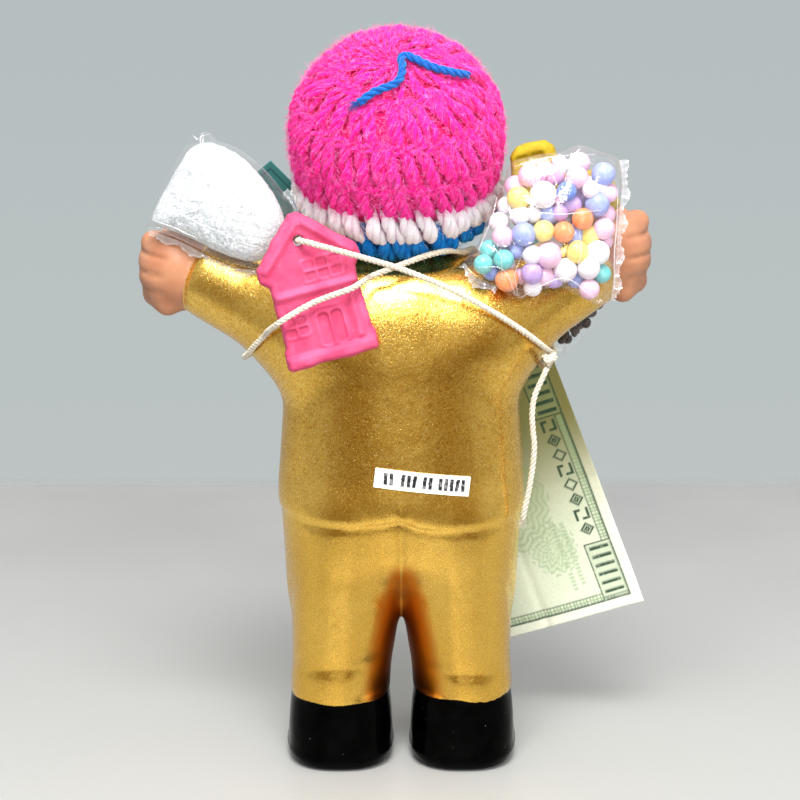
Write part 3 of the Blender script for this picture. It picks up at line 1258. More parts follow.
def film_material(name, tint, haze):
    g = Graph(name, **{"Roughness": 0.11, "Base Color": tint})
    facing = g.add("LayerWeight", {"Blend": 0.5}).outputs["Facing"]
    gloss = g.math("ADD", g.times(g.math("POWER", facing, 4.0), 0.5), 0.03)
    fold = g.math("MAXIMUM", g.value("fold"), 0.0)
    cloud = g.ramp(g.noise(0.5, 4, 0.6), 0.45, 0.75, haze * 0.5, haze * 1.6)
    veil = g.math("ADD", cloud, g.times(fold, 0.42))
    g.set({"Metallic": g.ramp(fold, 0.0, 0.3, 0.8, 0.35, smooth=False),
           "Alpha": g.math("ADD", gloss, veil, clamp=True),
           "Normal": g.bump(g.noise(0.35, 3, 0.6), 0.35, 0.0012)})
    return g.material


def film_height(xy, outline, thickness):
    """Height of a film's face over points inside its outline."""
    middle = outline.mean(0)
    away = np.asarray(xy, float) - middle
    reach = np.linalg.norm(away, axis=1) + 1e-6
    spokes = np.arctan2(*(outline - middle).T[::-1])
    order = np.argsort(spokes)
    edge = np.linalg.norm(outline - middle, axis=1)[order]
    spoke = np.interp(np.arctan2(away[:, 1], away[:, 0]), spokes[order], edge, period=2 * np.pi)
    share = np.clip(reach / spoke, 0, 1)
    return (FILM_RIM + thickness * (1 - share ** 2) ** PILLOW_POWER) / 2


def crease(ends, outline, thickness, frame_pair, rng):
    """A sharp fold that stands up from a bag's face: a thin ridge which tapers out."""
    line = spline([(*end, 0.0) for end in ends], 0.3)
    count = len(line)
    line[:, :2] += 0.12 * np.cumsum(rng.normal(size=(count, 2)), axis=0) / math.sqrt(count)
    line[:, 2] = film_height(line[:, :2], outline, thickness) + 0.12
    taper = np.sin(np.pi * np.linspace(0.04, 0.96, count)) ** 0.6
    points, faces = tube(line, 0.03 + 0.13 * taper * (0.4 + 0.6 * rng.random()), 6)
    return from_frame(points, frame_pair), faces, {"fold": 0.6}


def frill(ends, frame_pair, rng):
    """A crimped seal along part of a bag's rim: a narrow rippled strip."""
    spacing = 0.35
    line = spline([(*end, 0.0) for end in ends], spacing)
    count = len(line)
    along = np.arange(count) * spacing
    tangent = unit(np.gradient(line, axis=0))
    out = np.stack([tangent[:, 1], -tangent[:, 0], np.zeros(count)], 1)
    start = 6 * rng.random()
    rows = []
    for step in range(5):
        wave = 0.35 * np.sin(along * 1.3 + 3 * np.sin(along * 0.37 + start))
        wave += 0.16 * np.sin(along * 4.1 + start)
        torn = 0.12 * rng.normal(size=count) * (step == 4)
        width = FRILL_WIDTH * step / 4 * (1 + torn + 0.35 * np.sin(along * 0.9 + start) * (step > 1))
        rows.append(line + out * width[:, None] + np.outer(step / 4 * wave, [0, 0, 1]))
    points = from_frame(np.concatenate(rows), frame_pair)
    return points, grid_faces(1, 5, count), {"fold": np.repeat(FRILL_FOLDS, count)}


def film_bag(contents, name, corners, frame_pair, thickness, seed, material, folds, ridges=()):
    rng = np.random.default_rng(seed)
    seeds = dict(zip((1, -1), rng.integers(0, 9999, 2)))

    def relief(xy, side):
        return crinkle(xy, np.random.default_rng(seeds[side]), FILM_WAVES[side], FILM_CRINKLE)

    points, faces = pouch(corners, thickness, FILM_RIM, FILM_AROUND, FILM_RINGS, relief)
    outline = closed_outline(corners, FILM_AROUND)
    parts = [(from_frame(points, frame_pair), faces, {"fold": 0.0})]
    parts += [frill(ends, frame_pair, rng) for ends in folds]
    parts += [crease(ends, outline, thickness, frame_pair, rng) for ends in ridges]
    piece = make_mesh(name + "_film", *join_parts(parts))
    finish_piece(piece, material, "clear_film_" + contents, name + "_bag")


SUGAR_FRAME = back_frame((41.4, 3.5, 135.8), 0, -4, -20)
BALL_FRAME = back_frame((-35.2, 11.7, 133.4), 0, -8, 4)
BEAN_FRAME = back_frame((-41.5, -20.9, 108.5), -38, 20, 0)
SUGAR_FILM = [
    (-19.4, -5.2), (-14.5, -6.2), (-9, -8), (-2, -11), (4, -12.8), (13.5, -12.8), (16.8, -6), (18.2, 0.5),
    (15.2, 4.5), (9, 10.8), (2.5, 14.8), (-2.6, 16.4), (-4.2, 18.2), (-6.2, 15.8), (-9.2, 14.5),
    (-12.4, 9.6), (-15.8, 3), (-17.6, -2),
]
SUGAR_HEAP = [
    (-17.7, -3.6), (-14, -5.0), (-7.9, -6.8), (-1.6, -9.4), (4.6, -11.2), (10, -11.4), (14.2, -8),
    (15.6, -3), (14, 1.6), (11, 6), (7, 10.2), (3.6, 12.8), (-0.4, 14.6), (-4.4, 15.4), (-7.6, 14.2),
    (-10.4, 10.6), (-13.4, 5.6), (-16.2, 0.8),
]
SUGAR_RIDGES = [
    [(-9.6, 8.6), (-4, 9.4), (3, 7.6), (9, 4.6)], [(5.4, 9.0), (9.6, 5.6), (12.4, 2.0)],
    [(6.6, 8.8), (9.0, 9.2), (12.0, 5.0)], [(-6.5, 3.4), (-1, 2.6), (6, 0.2), (13, -2.2)],
    [(2.2, 13.6), (8.4, 9.4), (13.2, 3.4), (15.4, -2)], [(-7.6, 17.0), (-6.0, 16.0), (-3.4, 17.3)],
    [(-4.6, 18.0), (-3.6, 15.2), (0.4, 14.6)], [(-9, -0.5), (-3, -3.0), (3.5, -5.2)],
    [(3, -8), (7.5, -7.0), (12.6, -8.4)], [(-16.5, -2.6), (-10.5, -4.2), (-4, -6.6)],
]
BALL_FILM = [
    (-9.2, 14.2), (-11.6, 8), (-14.6, 2.4), (-16.8, -4), (-20.2, -8.6), (-17.6, -11.9), (-12.6, -14.4),
    (-8.2, -17.2), (-3, -15.4), (1.8, -14.6), (6.6, -16.8), (10.6, -18.6), (13.8, -17.6), (14.8, -9),
    (15.6, 1), (16.4, 10.3), (15.6, 14.8), (11.4, 16.6), (6.6, 18.2), (2.4, 16.6), (-2, 16.2), (-5.6, 15.4),
]
BEAN_FILM = [
    (-7.4, -7.8), (-3.4, -9.4), (0.6, -10.4), (4.6, -9.6), (8, -8.4), (8.4, -2.6), (8.2, 3), (6.2, 9.4),
    (1.2, 10.2), (-5.2, 10.2), (-7.2, 6), (-8.2, 1),
]
SUGAR_THICKNESS, BALL_THICKNESS, BEAN_THICKNESS = 12.6, 12.4, 8.0
SUGAR_SEAMS = [[(-19.0, -5.6), (-14.2, -6.8), (-9, -8.6), (-2, -11.6), (4, -13.4), (9, -13.6)],
               [(16.8, -6), (18.2, 0.5), (15.2, 4.5)]]
BALL_SEAMS = [[(13.8, -17.6), (14.8, -9), (15.6, 1), (16.4, 10.3), (15.8, 14.6)],
              [(-20.2, -8.6), (-17.6, -11.9), (-12.6, -14.4)]]
SUGAR_LUMPS = (2.3, 3.1, 4.7, 6.3, 1.3, 0.9)


def sugar():
    rng = np.random.default_rng(51)
    film_bag("sugar", "sugar", SUGAR_FILM, SUGAR_FRAME, SUGAR_THICKNESS, 52,
             film_material("clear_film", (0.95, 0.98, 1.0), 0.08), SUGAR_SEAMS, SUGAR_RIDGES)

    def lumps(xy, side):
        inner = np.random.default_rng(53 + side)
        height = np.zeros(len(xy))
        for length in SUGAR_LUMPS:
            way = inner.random() * 2 * np.pi
            phase = 2 * np.pi * (xy @ [math.cos(way), math.sin(way)]) / length + 6 * inner.random()
            height += 0.012 * length * np.sin(phase)
        return height

    points, faces = pouch(SUGAR_HEAP, 11.0, 0.6, 200, 40, lumps)
    middle = closed_outline(SUGAR_HEAP, 200).mean(0)
    rough = 0.08 * np.clip(np.linalg.norm(points[:, :2] - middle, axis=1) / 7, 0.05, 1)
    points += rough[:, None] * rng.normal(size=(len(points), 3))
    g = Graph("sugar", **{"Roughness": 0.45, "Specular IOR Level": 0.6, "Subsurface Weight": 0.25,
                          "Subsurface Radius": (0.001, 0.001, 0.001)})
    grey = g.add("SeparateColor", {"Color": g.cells(3.0, "Color")}).outputs[0]
    colour = g.blend(g.ramp(grey, 0.1, 0.9), tone(190, 195, 198), tone(232, 235, 236))
    colour = g.blend(g.ramp(g.noise(0.25, 3), 0.45, 0.7, 0, 0.3), colour, tone(206, 212, 216))
    g.set({"Base Color": colour, "Normal": g.bump(grey, 1.0, 0.0004)})
    piece = make_mesh("sugar_grains", from_frame(points, SUGAR_FRAME), faces)
    finish_piece(piece, g.material, "clear_film_sugar")


BALL_TONES = [
    tone(226, 220, 226), tone(226, 182, 206), tone(214, 152, 190), tone(144, 158, 216), tone(88, 124, 208),
    tone(178, 148, 208), tone(232, 212, 112), tone(238, 142, 84), tone(98, 192, 190), tone(232, 232, 234),
]
BALL_SHARES = [0.22, 0.24, 0.13, 0.08, 0.07, 0.10, 0.04, 0.05, 0.03, 0.04]
# balls against the bag's face: across, up, radius, how much deeper, tone
NEAR_BALLS = [
    (11.9, 11.4, 2.8, 0, 3), (5.7, 10.7, 2.6, 0, 1), (-5.2, 11.2, 2.7, 0, 1), (-2.2, 6.8, 3.2, 0, 0),
    (-7.9, 6.1, 2.7, 0, 6), (3.1, 7.5, 2.3, 0, 4), (8.7, 7.9, 2.1, 0, 0), (10.3, 4.5, 2.9, 0, 3),
    (13.3, 6.8, 1.9, 0.5, 1), (6.8, 1.2, 2.5, 0, 7), (2.4, -1.8, 2.5, 0.4, 7), (11.9, -1.1, 2.6, 0, 1),
    (-2.2, -1.5, 2.5, 0.8, 6), (-6.8, -2.2, 2.8, 0, 3), (-11.6, -2.7, 2.5, 0, 1), (-7.5, 2.2, 2.3, 1.0, 0),
    (-16.0, -9.0, 2.3, 0, 8), (-11.4, -8.0, 2.4, 0.3, 8), (-10.5, -12.6, 2.8, 0, 7),
    (-4.9, -11.2, 2.6, 0, 5), (-1.0, -7.1, 3.1, 0, 1), (-4.9, -7.0, 2.3, 0.6, 0), (2.9, -10.5, 2.8, 0, 0),
    (5.6, -6.4, 2.7, 0.5, 6), (10.4, -6.6, 2.9, 0, 9), (8.2, -10.1, 2.7, 0, 0), (8.5, -15.0, 2.4, 0, 1),
    (-4.5, -14.4, 2.2, 0.8, 0), (0.6, -12.6, 2.2, 2.5, 5), (4.8, 4.4, 2.2, 2.5, 5), (1.8, 2.6, 2.1, 2.5, 5),
]
BALL_RIDGES = [
    [(-13.5, 0.6), (-6, 2.6), (2, 2.2), (11, 3.0)], [(-5.2, 15.6), (-3.8, 10.6), (-2.6, 8.8)],
    [(-1.2, 12.4), (0.6, 9.4), (-0.8, 8.0)], [(5.4, -1.2), (6.0, -6.0), (5.2, -9.2)],
    [(-12.6, 6.4), (-14.8, 0), (-17.4, -6.0)], [(4.6, 13.6), (7.2, 14.4), (9.4, 13.4)],
    [(-18.2, -9.6), (-12.0, -10.2), (-8.6, -16.4)], [(-16.4, -3.8), (-12.8, -6.6), (-12.0, -13.0)],
    [(-8.2, -16.4), (-9.0, -11.0), (-7.4, -6.4)], [(-7.5, -16.8), (-2, -13.6), (3, -12.4), (9, -16.8)],
    [(14.4, -15), (14.2, -8), (14.9, 0), (15.2, 8)], [(-9.0, 13.2), (0, 15.2), (9.8, 15.6)],
]


def ball_mesh(centres, radii, around, rows):
    turn = np.linspace(0, 2 * np.pi, around, endpoint=False)
    rise = np.linspace(-np.pi / 2, np.pi / 2, rows + 1)[:, None]
    ball = np.stack([np.cos(rise) * np.cos(turn), np.cos(rise) * np.sin(turn), np.sin(rise) + 0 * turn], -1)
    points = centres[:, None] + radii[:, None, None] * ball.reshape(1, -1, 3)
    return points.reshape(-1, 3), grid_faces(len(centres), rows + 1, around, True)


def inside_outline(xy, outline):
    """Distance to the inside of a closed outline, positive inside."""
    side = np.roll(outline, -1, 0) - outline
    away = xy[:, None] - outline
    share = np.clip((away * side).sum(-1) / (side * side).sum(-1), 0, 1)
    reach = np.linalg.norm(away - share[..., None] * side, axis=-1).min(1)
    above = (outline[:, 1] > xy[:, None, 1]) != (outline[:, 1] + side[:, 1] > xy[:, None, 1])
    rise = np.where(np.abs(side[:, 1]) < 1e-9, 1e-9, side[:, 1])
    crosses = above & (away[..., 0] < side[:, 0] * away[..., 1] / rise)
    return np.where(crosses.sum(1) % 2 == 1, reach, -reach)


def pack_balls(corners, depth, number, rng, low, high, fixed=()):
    """Balls pushed apart inside a pouch, as loose balls settle in a bag."""
    outline = closed_outline(corners, 80)
    middle = outline.mean(0)
    spots = rng.uniform(outline.min(0), outline.max(0), (number * 12, 2))
    spots = spots[inside_outline(spots, outline) > 2.0][: number - len(fixed)]
    places = [list(ball[:3]) for ball in fixed]
    places += [[*spot, rng.uniform(-depth / 2, depth / 2)] for spot in spots]
    sizes = np.array([ball[3] for ball in fixed] + [rng.uniform(low, high) for _ in spots])
    places = np.array(places)
    loose = slice(len(fixed), None)
    for _ in range(160):
        gap = places[loose, None] - places[None]
        far = np.linalg.norm(gap, axis=-1) + np.eye(len(places))[loose] * 99
        overlap = np.maximum(sizes[loose, None] + sizes[None] - far, 0)
        places[loose] += (gap / far[..., None] * overlap[..., None]).sum(1) * 0.35
        flat = places[loose, :2]
        room = inside_outline(flat, outline)
        flat += unit(middle - flat) * np.maximum(sizes[loose] + 0.7 - room, 0)[:, None] * 0.5
        limit = np.maximum(depth / 2 * np.sqrt(np.clip(room / 9, 0.05, 1)) - sizes[loose] * 0.4, 0.2)
        places[loose, 2] = np.clip(places[loose, 2], -limit, limit)
    return places, sizes


def foam_material():
    g = Graph("foam", **{"Roughness": 0.42, "Specular IOR Level": 0.4, "Subsurface Weight": 0.2,
                         "Subsurface Radius": (0.001, 0.0008, 0.0008)})
    colour = BALL_TONES[0]
    for number, shade in enumerate(BALL_TONES[1:]):
        colour = g.blend(g.ramp(g.value("kind"), number + 0.4, number + 0.6), colour, shade)
    beads = g.cells(1.1)
    colour = g.blend(g.ramp(beads, 0.0, 0.5, 0.12, 0.0), colour, (0.5, 0.45, 0.5))
    colour = g.blend(g.ramp(g.noise(0.8, 3), 0.4, 0.7, 0, 0.12), colour, (1.0, 1.0, 1.0))
    g.set({"Base Color": colour, "Normal": g.bump(beads, 0.18, 0.0003)})
    return g.material


def balls():
    rng = np.random.default_rng(61)
    film_bag("balls", "ball", BALL_FILM, BALL_FRAME, BALL_THICKNESS, 62,
             film_material("clear_film_purple", (0.99, 0.95, 1.0), 0.09), BALL_SEAMS, BALL_RIDGES)
    across, up, radius, deeper, kind = np.array(NEAR_BALLS).T
    height = film_height(np.stack([across, up], 1), closed_outline(BALL_FILM, FILM_AROUND), BALL_THICKNESS)
    deep = np.maximum(height - radius - 0.25 - deeper, 0)
    places, sizes = pack_balls(BALL_FILM, 8.0, 70, rng, 1.9, 2.6, list(zip(across, up, deep, radius)))
    behind = slice(len(kind), None)
    places[behind, 2] = np.minimum(places[behind, 2], 0.6)
    points, faces = ball_mesh(from_frame(places, BALL_FRAME), sizes, 20, 12)
    kinds = rng.choice(len(BALL_TONES), len(places), p=np.array(BALL_SHARES) / sum(BALL_SHARES))
    kinds[: len(kind)] = kind
    piece = make_mesh("foam_balls", points, faces, {"kind": np.repeat(kinds, len(points) // len(places))})
    finish_piece(piece, foam_material(), "clear_film_balls")


def beans():
    rng = np.random.default_rng(71)
    film_bag("beans", "bean", BEAN_FILM, BEAN_FRAME, BEAN_THICKNESS, 72,
             film_material("clear_film_brown", (0.98, 0.97, 0.95), 0.02), [BEAN_FILM[:5]])
    places, sizes = pack_balls(BEAN_FILM, 6.0, 75, rng, 1.1, 1.5)
    count = len(places)
    turn = unit(rng.normal(size=(count, 3)))[:, None]
    points, faces = ball_mesh(np.zeros((count, 3)), np.ones(count), 14, 9)
    points = points.reshape(count, -1, 3)
    squash = (points * turn).sum(-1, keepdims=True) * turn
    points = (points - 0.35 * squash) * sizes[:, None, None] + places[:, None]
    kinds = np.repeat(rng.random(count), points.shape[1])
    piece = make_mesh("dark_beans", from_frame(points.reshape(-1, 3), BEAN_FRAME), faces, {"kind": kinds})
    g = Graph("roasted_beans", **{"Roughness": 0.38, "Specular IOR Level": 0.5})
    colour = g.blend(g.ramp(g.value("kind"), 0, 1), tone(30, 16, 10), tone(54, 31, 21))
    g.set({"Base Color": g.blend(g.ramp(g.noise(1.2, 3), 0.4, 0.7, 0, 0.5), colour, tone(34, 20, 16)),
           "Normal": g.bump(g.noise(1.8, 3), 0.4, 0.0003)})
    finish_piece(piece, g.material, "clear_film_beans")


sugar()
balls()
beans()


# Clay tablets
TABLET_THICKNESS = 4.4
TABLET_ROUNDING = 1.1
TABLET_EDGE = 2.2
ROOF_SLOPE = math.atan2(10, 10.6)
HOUSE_FRAME = back_frame((14.9, 19.875, 103.2), 14.2, -7, 7)
HOUSE_HOLE = (-1.0, 28.6, 1.2)
HOUSE_OUTLINE = [
    (-10.75, 0), (10.75, 0), (10.75, 3.2), (9.95, 4.2), (9.95, 20.4), (11.95, 22.6), (11.55, 24.6), (0.2, 35),
    (-1.6, 35), (-11.75, 24.6), (-11.95, 22), (-9.95, 20.4), (-9.95, 4.2), (-10.75, 3.2),
]
# raised bars: centre, width, height, turn, relief
HOUSE_BARS = [
    (0, 1.6, 21.6, 3.0, 0, 0.75), (0.2, 17.0, 20.0, 1.5, 0, 0.65), (7.3, 9.6, 1.5, 11.4, 0, 0.6),
    (-5.6, 27.9, 14.0, 1.5, ROOF_SLOPE, 0.6), (5.4, 27.9, 14.0, 1.5, -ROOF_SLOPE, 0.6),
]
# windows: centre, width, height, panes side by side
HOUSE_WINDOWS = [(-6.6, 9.8, 5.6, 5.0, 2), (2.6, 21.4, 9.0, 5.2, 3)]
CAR_FRAME = back_frame((-42, -3, 130.016), 14)
CAR_OUTLINE = [
    (-12, 3.2), (-10.6, 2.4), (10.8, 2.4), (12, 3.2), (12, 11.5), (10.8, 12.5), (-0.5, 12.5), (-1.5, 21.6),
    (-3, 23), (-9.6, 23), (-11.4, 21.4), (-12, 12.5),
]
WHEEL_RADIUS, WHEEL_HEIGHT, WHEEL_PLACES = 3.3, 3.5, (-6.0, 6.0)


def polygon_distance(x, y, corners):
    """Signed distance to a polygon, negative inside."""
    return -inside_outline(np.column_stack([x, y]), np.asarray(corners, float))


def bar(x, y, cx, cy, width, height, turn=0.0, corner=0.3):
    """Signed distance to a rounded bar."""
    c, s = math.cos(turn), math.sin(turn)
    u = np.abs((x - cx) * c + (y - cy) * s) - width / 2 + corner
    v = np.abs(-(x - cx) * s + (y - cy) * c) - height / 2 + corner
    return np.hypot(np.maximum(u, 0), np.maximum(v, 0)) + np.minimum(np.maximum(u, v), 0) - corner


def raised(distance, height, soft):
    return height * inside(distance, -soft, soft)


def house_face(x, y):
    """Height of the modelled relief over the house's face."""
    level = np.max([raised(bar(x, y, *spec), height, 0.75) for *spec, height in HOUSE_BARS], axis=0)
    door = raised(bar(x, y, 1.3, 8.0, 7.4, 9.4, 0, 1.6), 0.45, 0.75)
    for cx in (-0.3, 2.9):
        door -= raised(bar(x, y, cx, 7.6, 2.3, 7.4, 0, 0.9), 0.75, 0.4)
    level = np.maximum(level, door)
    for cx, cy, wide, tall, panes in HOUSE_WINDOWS:
        window = raised(bar(x, y, cx, cy, wide, tall), 0.4, 0.75)
        step = wide / panes
        for column, row in product(range(panes), (-1, 1)):
            middle = cx + (column + 0.5) * step - wide / 2, cy + row * tall / 4
            window = window - raised(bar(x, y, *middle, step - 0.9, tall / 2 - 0.9), 0.8, 0.5)
        level = np.maximum(level, window)
    return 1.6 * level


def car_face(x, y):
    """Height of the modelled relief over the car's face."""
    level = raised(bar(x, y, 5.4, 8.2, 11.2, 6.6), 0.35, 0.5)
    level -= raised(bar(x, y, -6.8, 17.8, 7.0, 5.6, 0, 1.0), 0.9, 0.5)
    level += raised(bar(x, y, -6.8, 17.8, 0.9, 5.6), 0.54, 0.5)
    for cx in (1.8, 5.4, 9.0):
        level -= raised(bar(x, y, cx, 8.4, 0.7, 5.2), 0.45, 0.35)
    return level


def tablet(outline, face, cell, seed, hole=None):
    """A modelled slab: rounded edges, a relief on its face and a pierced hole."""
    tilt = 6 * np.random.default_rng(seed).random(3)
    corners = np.asarray(outline, float)
    middle = (corners.min(0) + corners.max(0)) / 2
    core = middle + (corners - middle) * (1 - TABLET_ROUNDING / (corners.max(0) - middle))

    def field(p):
        x, y, z = p.T
        wobble = 0.22 * np.sin(x * 0.55 + tilt[0]) * np.sin(y * 0.41 + tilt[1])
        wobble += 0.07 * np.sin(x * 1.3 + y * 0.9 + tilt[2])
        side = polygon_distance(x, y, core) - TABLET_ROUNDING + wobble
        top = z - (TABLET_THICKNESS - 0.7) - face(x, y) + 0.5 * wobble
        body = smooth_max(smooth_max(side, top, TABLET_EDGE), -z, 1.0)
        if hole:
            flare = 0.25 * smooth_step(z, TABLET_THICKNESS - 1.4, TABLET_THICKNESS)
            body = smooth_max(body, hole[2] + flare - np.hypot(x - hole[0], y - hole[1]), 0.5)
        return body

    low, high = corners.min(0) - 1.5, corners.max(0) + 1.5
    axes = [planes((low[0], cell), (high[0], 0)), planes((low[1], cell), (high[1], 0)),
            planes((-1.2, cell), (TABLET_THICKNESS + 1.6, 0))]
    return surface_nets(field, axes, band=3.0)


def wheel(p):
    """Distance field of a dished wheel on the z axis."""
    reach = np.hypot(p[:, 0], p[:, 1])
    dish = 0.7 * inside(reach, 1.2, 2.0)
    return smooth_max(smooth_max(reach - WHEEL_RADIUS, p[:, 2] - 4.8 + dish, 0.9), 0.2 - p[:, 2], 0.9)


def clay_material(name, light, dark, deep, speck):
    g = Graph(name, **{"Roughness": 0.72, "Specular IOR Level": 0.35})
    colour = g.mottled(0.18, 3, dark, light, 0.35, 0.68, 0.6)
    dots = g.times(g.ramp(g.cells(0.7), 0.05, 0.10, 1, 0), g.ramp(g.noise(0.6, 2), 0.5, 0.6), 0.8)
    for share, shade in (
        (g.ramp(g.noise(1.4, 4, 0.65), 0.55, 0.75, 0, 0.35), deep),
        (g.ramp(g.value("hollow"), 0.0, 0.5, 0, 0.7), deep), (dots, speck),
    ):
        colour = g.blend(share, colour, shade)
    height = g.math("ADD", g.times(g.noise(2.2, 4, 0.7), 0.35), g.ramp(g.cells(1.0), 0.06, 0.16))
    fine = g.bump(height, 0.5, 0.00012)
    g.set({"Base Color": colour, "Normal": g.bump(g.noise(0.5, 3, 0.6), 0.35, 0.0006, Normal=fine)})
    return g.material


def build_house():
    points, faces = tablet(HOUSE_OUTLINE, house_face, 0.32, 81, HOUSE_HOLE)
    x, y, z = points.T
    hollow = np.clip(1.2 * np.where(z > 2.5, 0.35 - house_face(x, y), 0), 0, 1)
    hollow *= polygon_distance(x, y, HOUSE_OUTLINE) < -1.5
    piece = make_mesh("house_tablet", from_frame(points, HOUSE_FRAME), faces, {"hollow": 0.55 * hollow})
    finish_piece(piece, clay_material("house_clay", tone(212, 84, 124), tone(200, 66, 106), tone(160, 26, 64),
                                      tone(236, 160, 176)), "pink_clay", "clay_house")


def build_car():
    points, faces = tablet(CAR_OUTLINE, car_face, 0.5, 91)
    parts = [(from_frame(points, CAR_FRAME), faces, {"hollow": 0.0})]
    points, faces = surface_nets(wheel, [planes((-4.2, 0.45), (4.2, 0)), planes((-4.3, 0.45), (4.3, 0)),
                                         planes((-0.6, 0.45), (6, 0))], band=3.0)
    for cx in WHEEL_PLACES:
        parts.append((from_frame(points + [cx, WHEEL_HEIGHT, 0], CAR_FRAME), faces, {"hollow": 0.5}))
    finish_piece(make_mesh("car_tablet", *join_parts(parts)), clay_material(
        "car_clay", tone(176, 154, 24), tone(158, 134, 14), tone(122, 96, 6), tone(250, 240, 190),
    ), "yellow_clay", "clay_car")


build_house()
build_car()


# Papers
NOTE_WIDTH, NOTE_HEIGHT = 52.0, 70.0
NOTE_FRAME = back_frame((-37.4, -19.5, 98.6), 20.6, 4, -8)
NOTE_MARGIN = 2.4
# edge lines of the note: distance from the edge, half width
NOTE_LINES = [(2.8, 0.26), (4.9, 0.12)]
# corner panels, ornaments and rosettes of the note: places over it
PANEL_PLACES = list(product((6.2, NOTE_WIDTH - 6.2), (11.0, NOTE_HEIGHT - 9.0)))
BORDER_PLACES, BORDER_START, BORDER_END, BORDER_STEP = (7.2, NOTE_WIDTH - 7.2), 20.5, 53.2, 4.1
ROSETTES = [(26.0, 35.0, 12.5), (17.5, 20.0, 6.5)]
# rows of strokes: start, end, height over the edge, stroke height, step, seed, strength
NOTE_ROWS = [(8.5, 26, 12.4, 1.3, 1.05, 3, 0.55), (7.5, 27, 14.8, 1.3, 1.05, 5, 0.55),
             (52, 62, 20, 1.4, 1.1, 7, 0.6)]
SMALL_WIDTH, SMALL_HEIGHT = 26, 19
SMALL_FRAME = back_frame((31.0, -14.5, 145.5), 42, 16)
LABEL_WIDTH, LABEL_HEIGHT = 22.4, 4.6
LABEL_CELL = 0.14
LABEL_TURN = math.radians(-6.8)
LABEL_X, LABEL_Z = -5.4, 74.0
# words of the label: start, end, step, seed
LABEL_WORDS = [(2.0, 10.2, 1.36, 2), (11.2, 13.9, 1.33, 4), (14.9, 21.6, 1.33, 8)]


def stripe(value, centre, half):
    return inside(np.abs(value - centre), half - 0.08, half + 0.14)


def area(x, y, x0, x1, y0, y1):
    return (smooth_step(x, x0 - 0.1, x0 + 0.1) * inside(x, x1 - 0.1, x1 + 0.1)
            * smooth_step(y, y0 - 0.1, y0 + 0.1) * inside(y, y1 - 0.1, y1 + 0.1))


def strokes(x, y, x0, x1, y0, tall, step, seed):
    """A row of short upright and slanted strokes."""
    index = np.floor((x - x0) / step).astype(int)
    inner = (x - x0) / step - index
    pick = (np.sin((index + 1) * 12.9898 + seed) * 43758.5453) % 1
    lean = (pick - 0.5) * 0.5 * ((y - y0) / tall - 0.5)
    upright = inside(np.abs(inner - 0.45 - lean), 0.29, 0.37)
    crossbar = stripe(y, y0 + tall * (0.2 + 0.6 * pick), 0.13) * (inner < 0.75)
    return area(x, y, x0, x1, y0, y0 + tall) * np.maximum(upright * (pick > 0.06), crossbar * (pick > 0.35))


def note_ink(x, y, face):
    """Inks of the printed note: dark green, mid green, a pale tint and a worn wash."""
    a, b = -x, y + NOTE_HEIGHT
    side, end = np.minimum(a, NOTE_WIDTH - a), np.minimum(b, NOTE_HEIGHT - b)
    edge, run = np.minimum(side, end), np.where(side < end, b, a)
    within = area(a, b, NOTE_MARGIN, 49.6, NOTE_MARGIN, NOTE_HEIGHT - NOTE_MARGIN)
    tint = 0.25 * area(a, b, NOTE_MARGIN, 50, NOTE_MARGIN, NOTE_HEIGHT - NOTE_MARGIN)
    dark = np.max([stripe(edge, *line) * within for line in NOTE_LINES], axis=0)
    ticks = stripe(run % 0.9, 0.45, 0.16) * area(edge, run, 3.0, 4.8, 6, 200)
    mid = np.maximum(ticks, stripe(edge, 3.8, 0.22) * 0.8 * within)
    for ca, cb in PANEL_PLACES:
        u, v = a - ca, b - cb
        panel = area(u, v, -3.4, 3.4, -7.5, 7.5)
        bars = stripe(v % 2.4, 1.2, 0.42) * area(u, v, -2.6, 2.4, -6.9, 6.9)
        upright = stripe(np.abs(u), 3.3, 0.14) * (np.abs(v) < 7.6)
        level = stripe(np.abs(v), 7.4, 0.14) * (np.abs(u) < 3.4)
        dark = np.maximum(np.where(panel > 0.5, bars, dark), np.maximum(upright, level))
        mid = np.where(panel > 0.5, 0.35 * panel, mid)
    for ca in BORDER_PLACES:
        cell = (b - BORDER_START) / BORDER_STEP
        index = np.floor(cell)
        u, v = a - ca, (cell - index - 0.5) * BORDER_STEP
        lozenge = np.abs(u) / 1.9 + np.abs(v) / 1.75
        ring = stripe(lozenge, 0.84, 0.16) + stripe(lozenge, 0.28, 0.2) * (index % 2 == 0)
        hook = stripe(np.abs(u), 1.5, 0.3) * (np.abs(v) < 1.5)
        hook += stripe(v, 1.2 * np.where(u > 0, 1, -1), 0.3) * (np.abs(u) < 1.6)
        glyph = np.clip(np.where(index % 3 == 1, hook, ring), 0, 1)
        dark = np.maximum(dark, glyph * (b > BORDER_START) * (b < BORDER_END))
    for ca, cb, wide in ROSETTES:
        reach = np.hypot(a - ca, (b - cb) * 0.85)
        wave = reach + 0.6 * np.sin(12 * np.arctan2(b - cb, a - ca))
        tint = np.maximum(tint, 0.75 * inside(reach, wide - 1.5, wide))
        mid = np.maximum(mid, (reach < wide) * 0.55 * stripe(wave % 1.5, 0.75, 0.22))
    for *row, strength in NOTE_ROWS:
        mid = np.maximum(mid, strength * strokes(b, a, *row))
    fine = sum(stripe((a * 0.7 + way * b) % 0.9, 0.45, 0.2) for way in (1, -1))
    mid = np.maximum(mid, 0.10 * fine * within)
    if face < 0:
        dark, mid = 0.55 * dark, 0.9 * mid
    return {"dark": dark, "mid": mid, "tint": tint, "wash": 0.95 * smooth_step(y, -52, -14)}


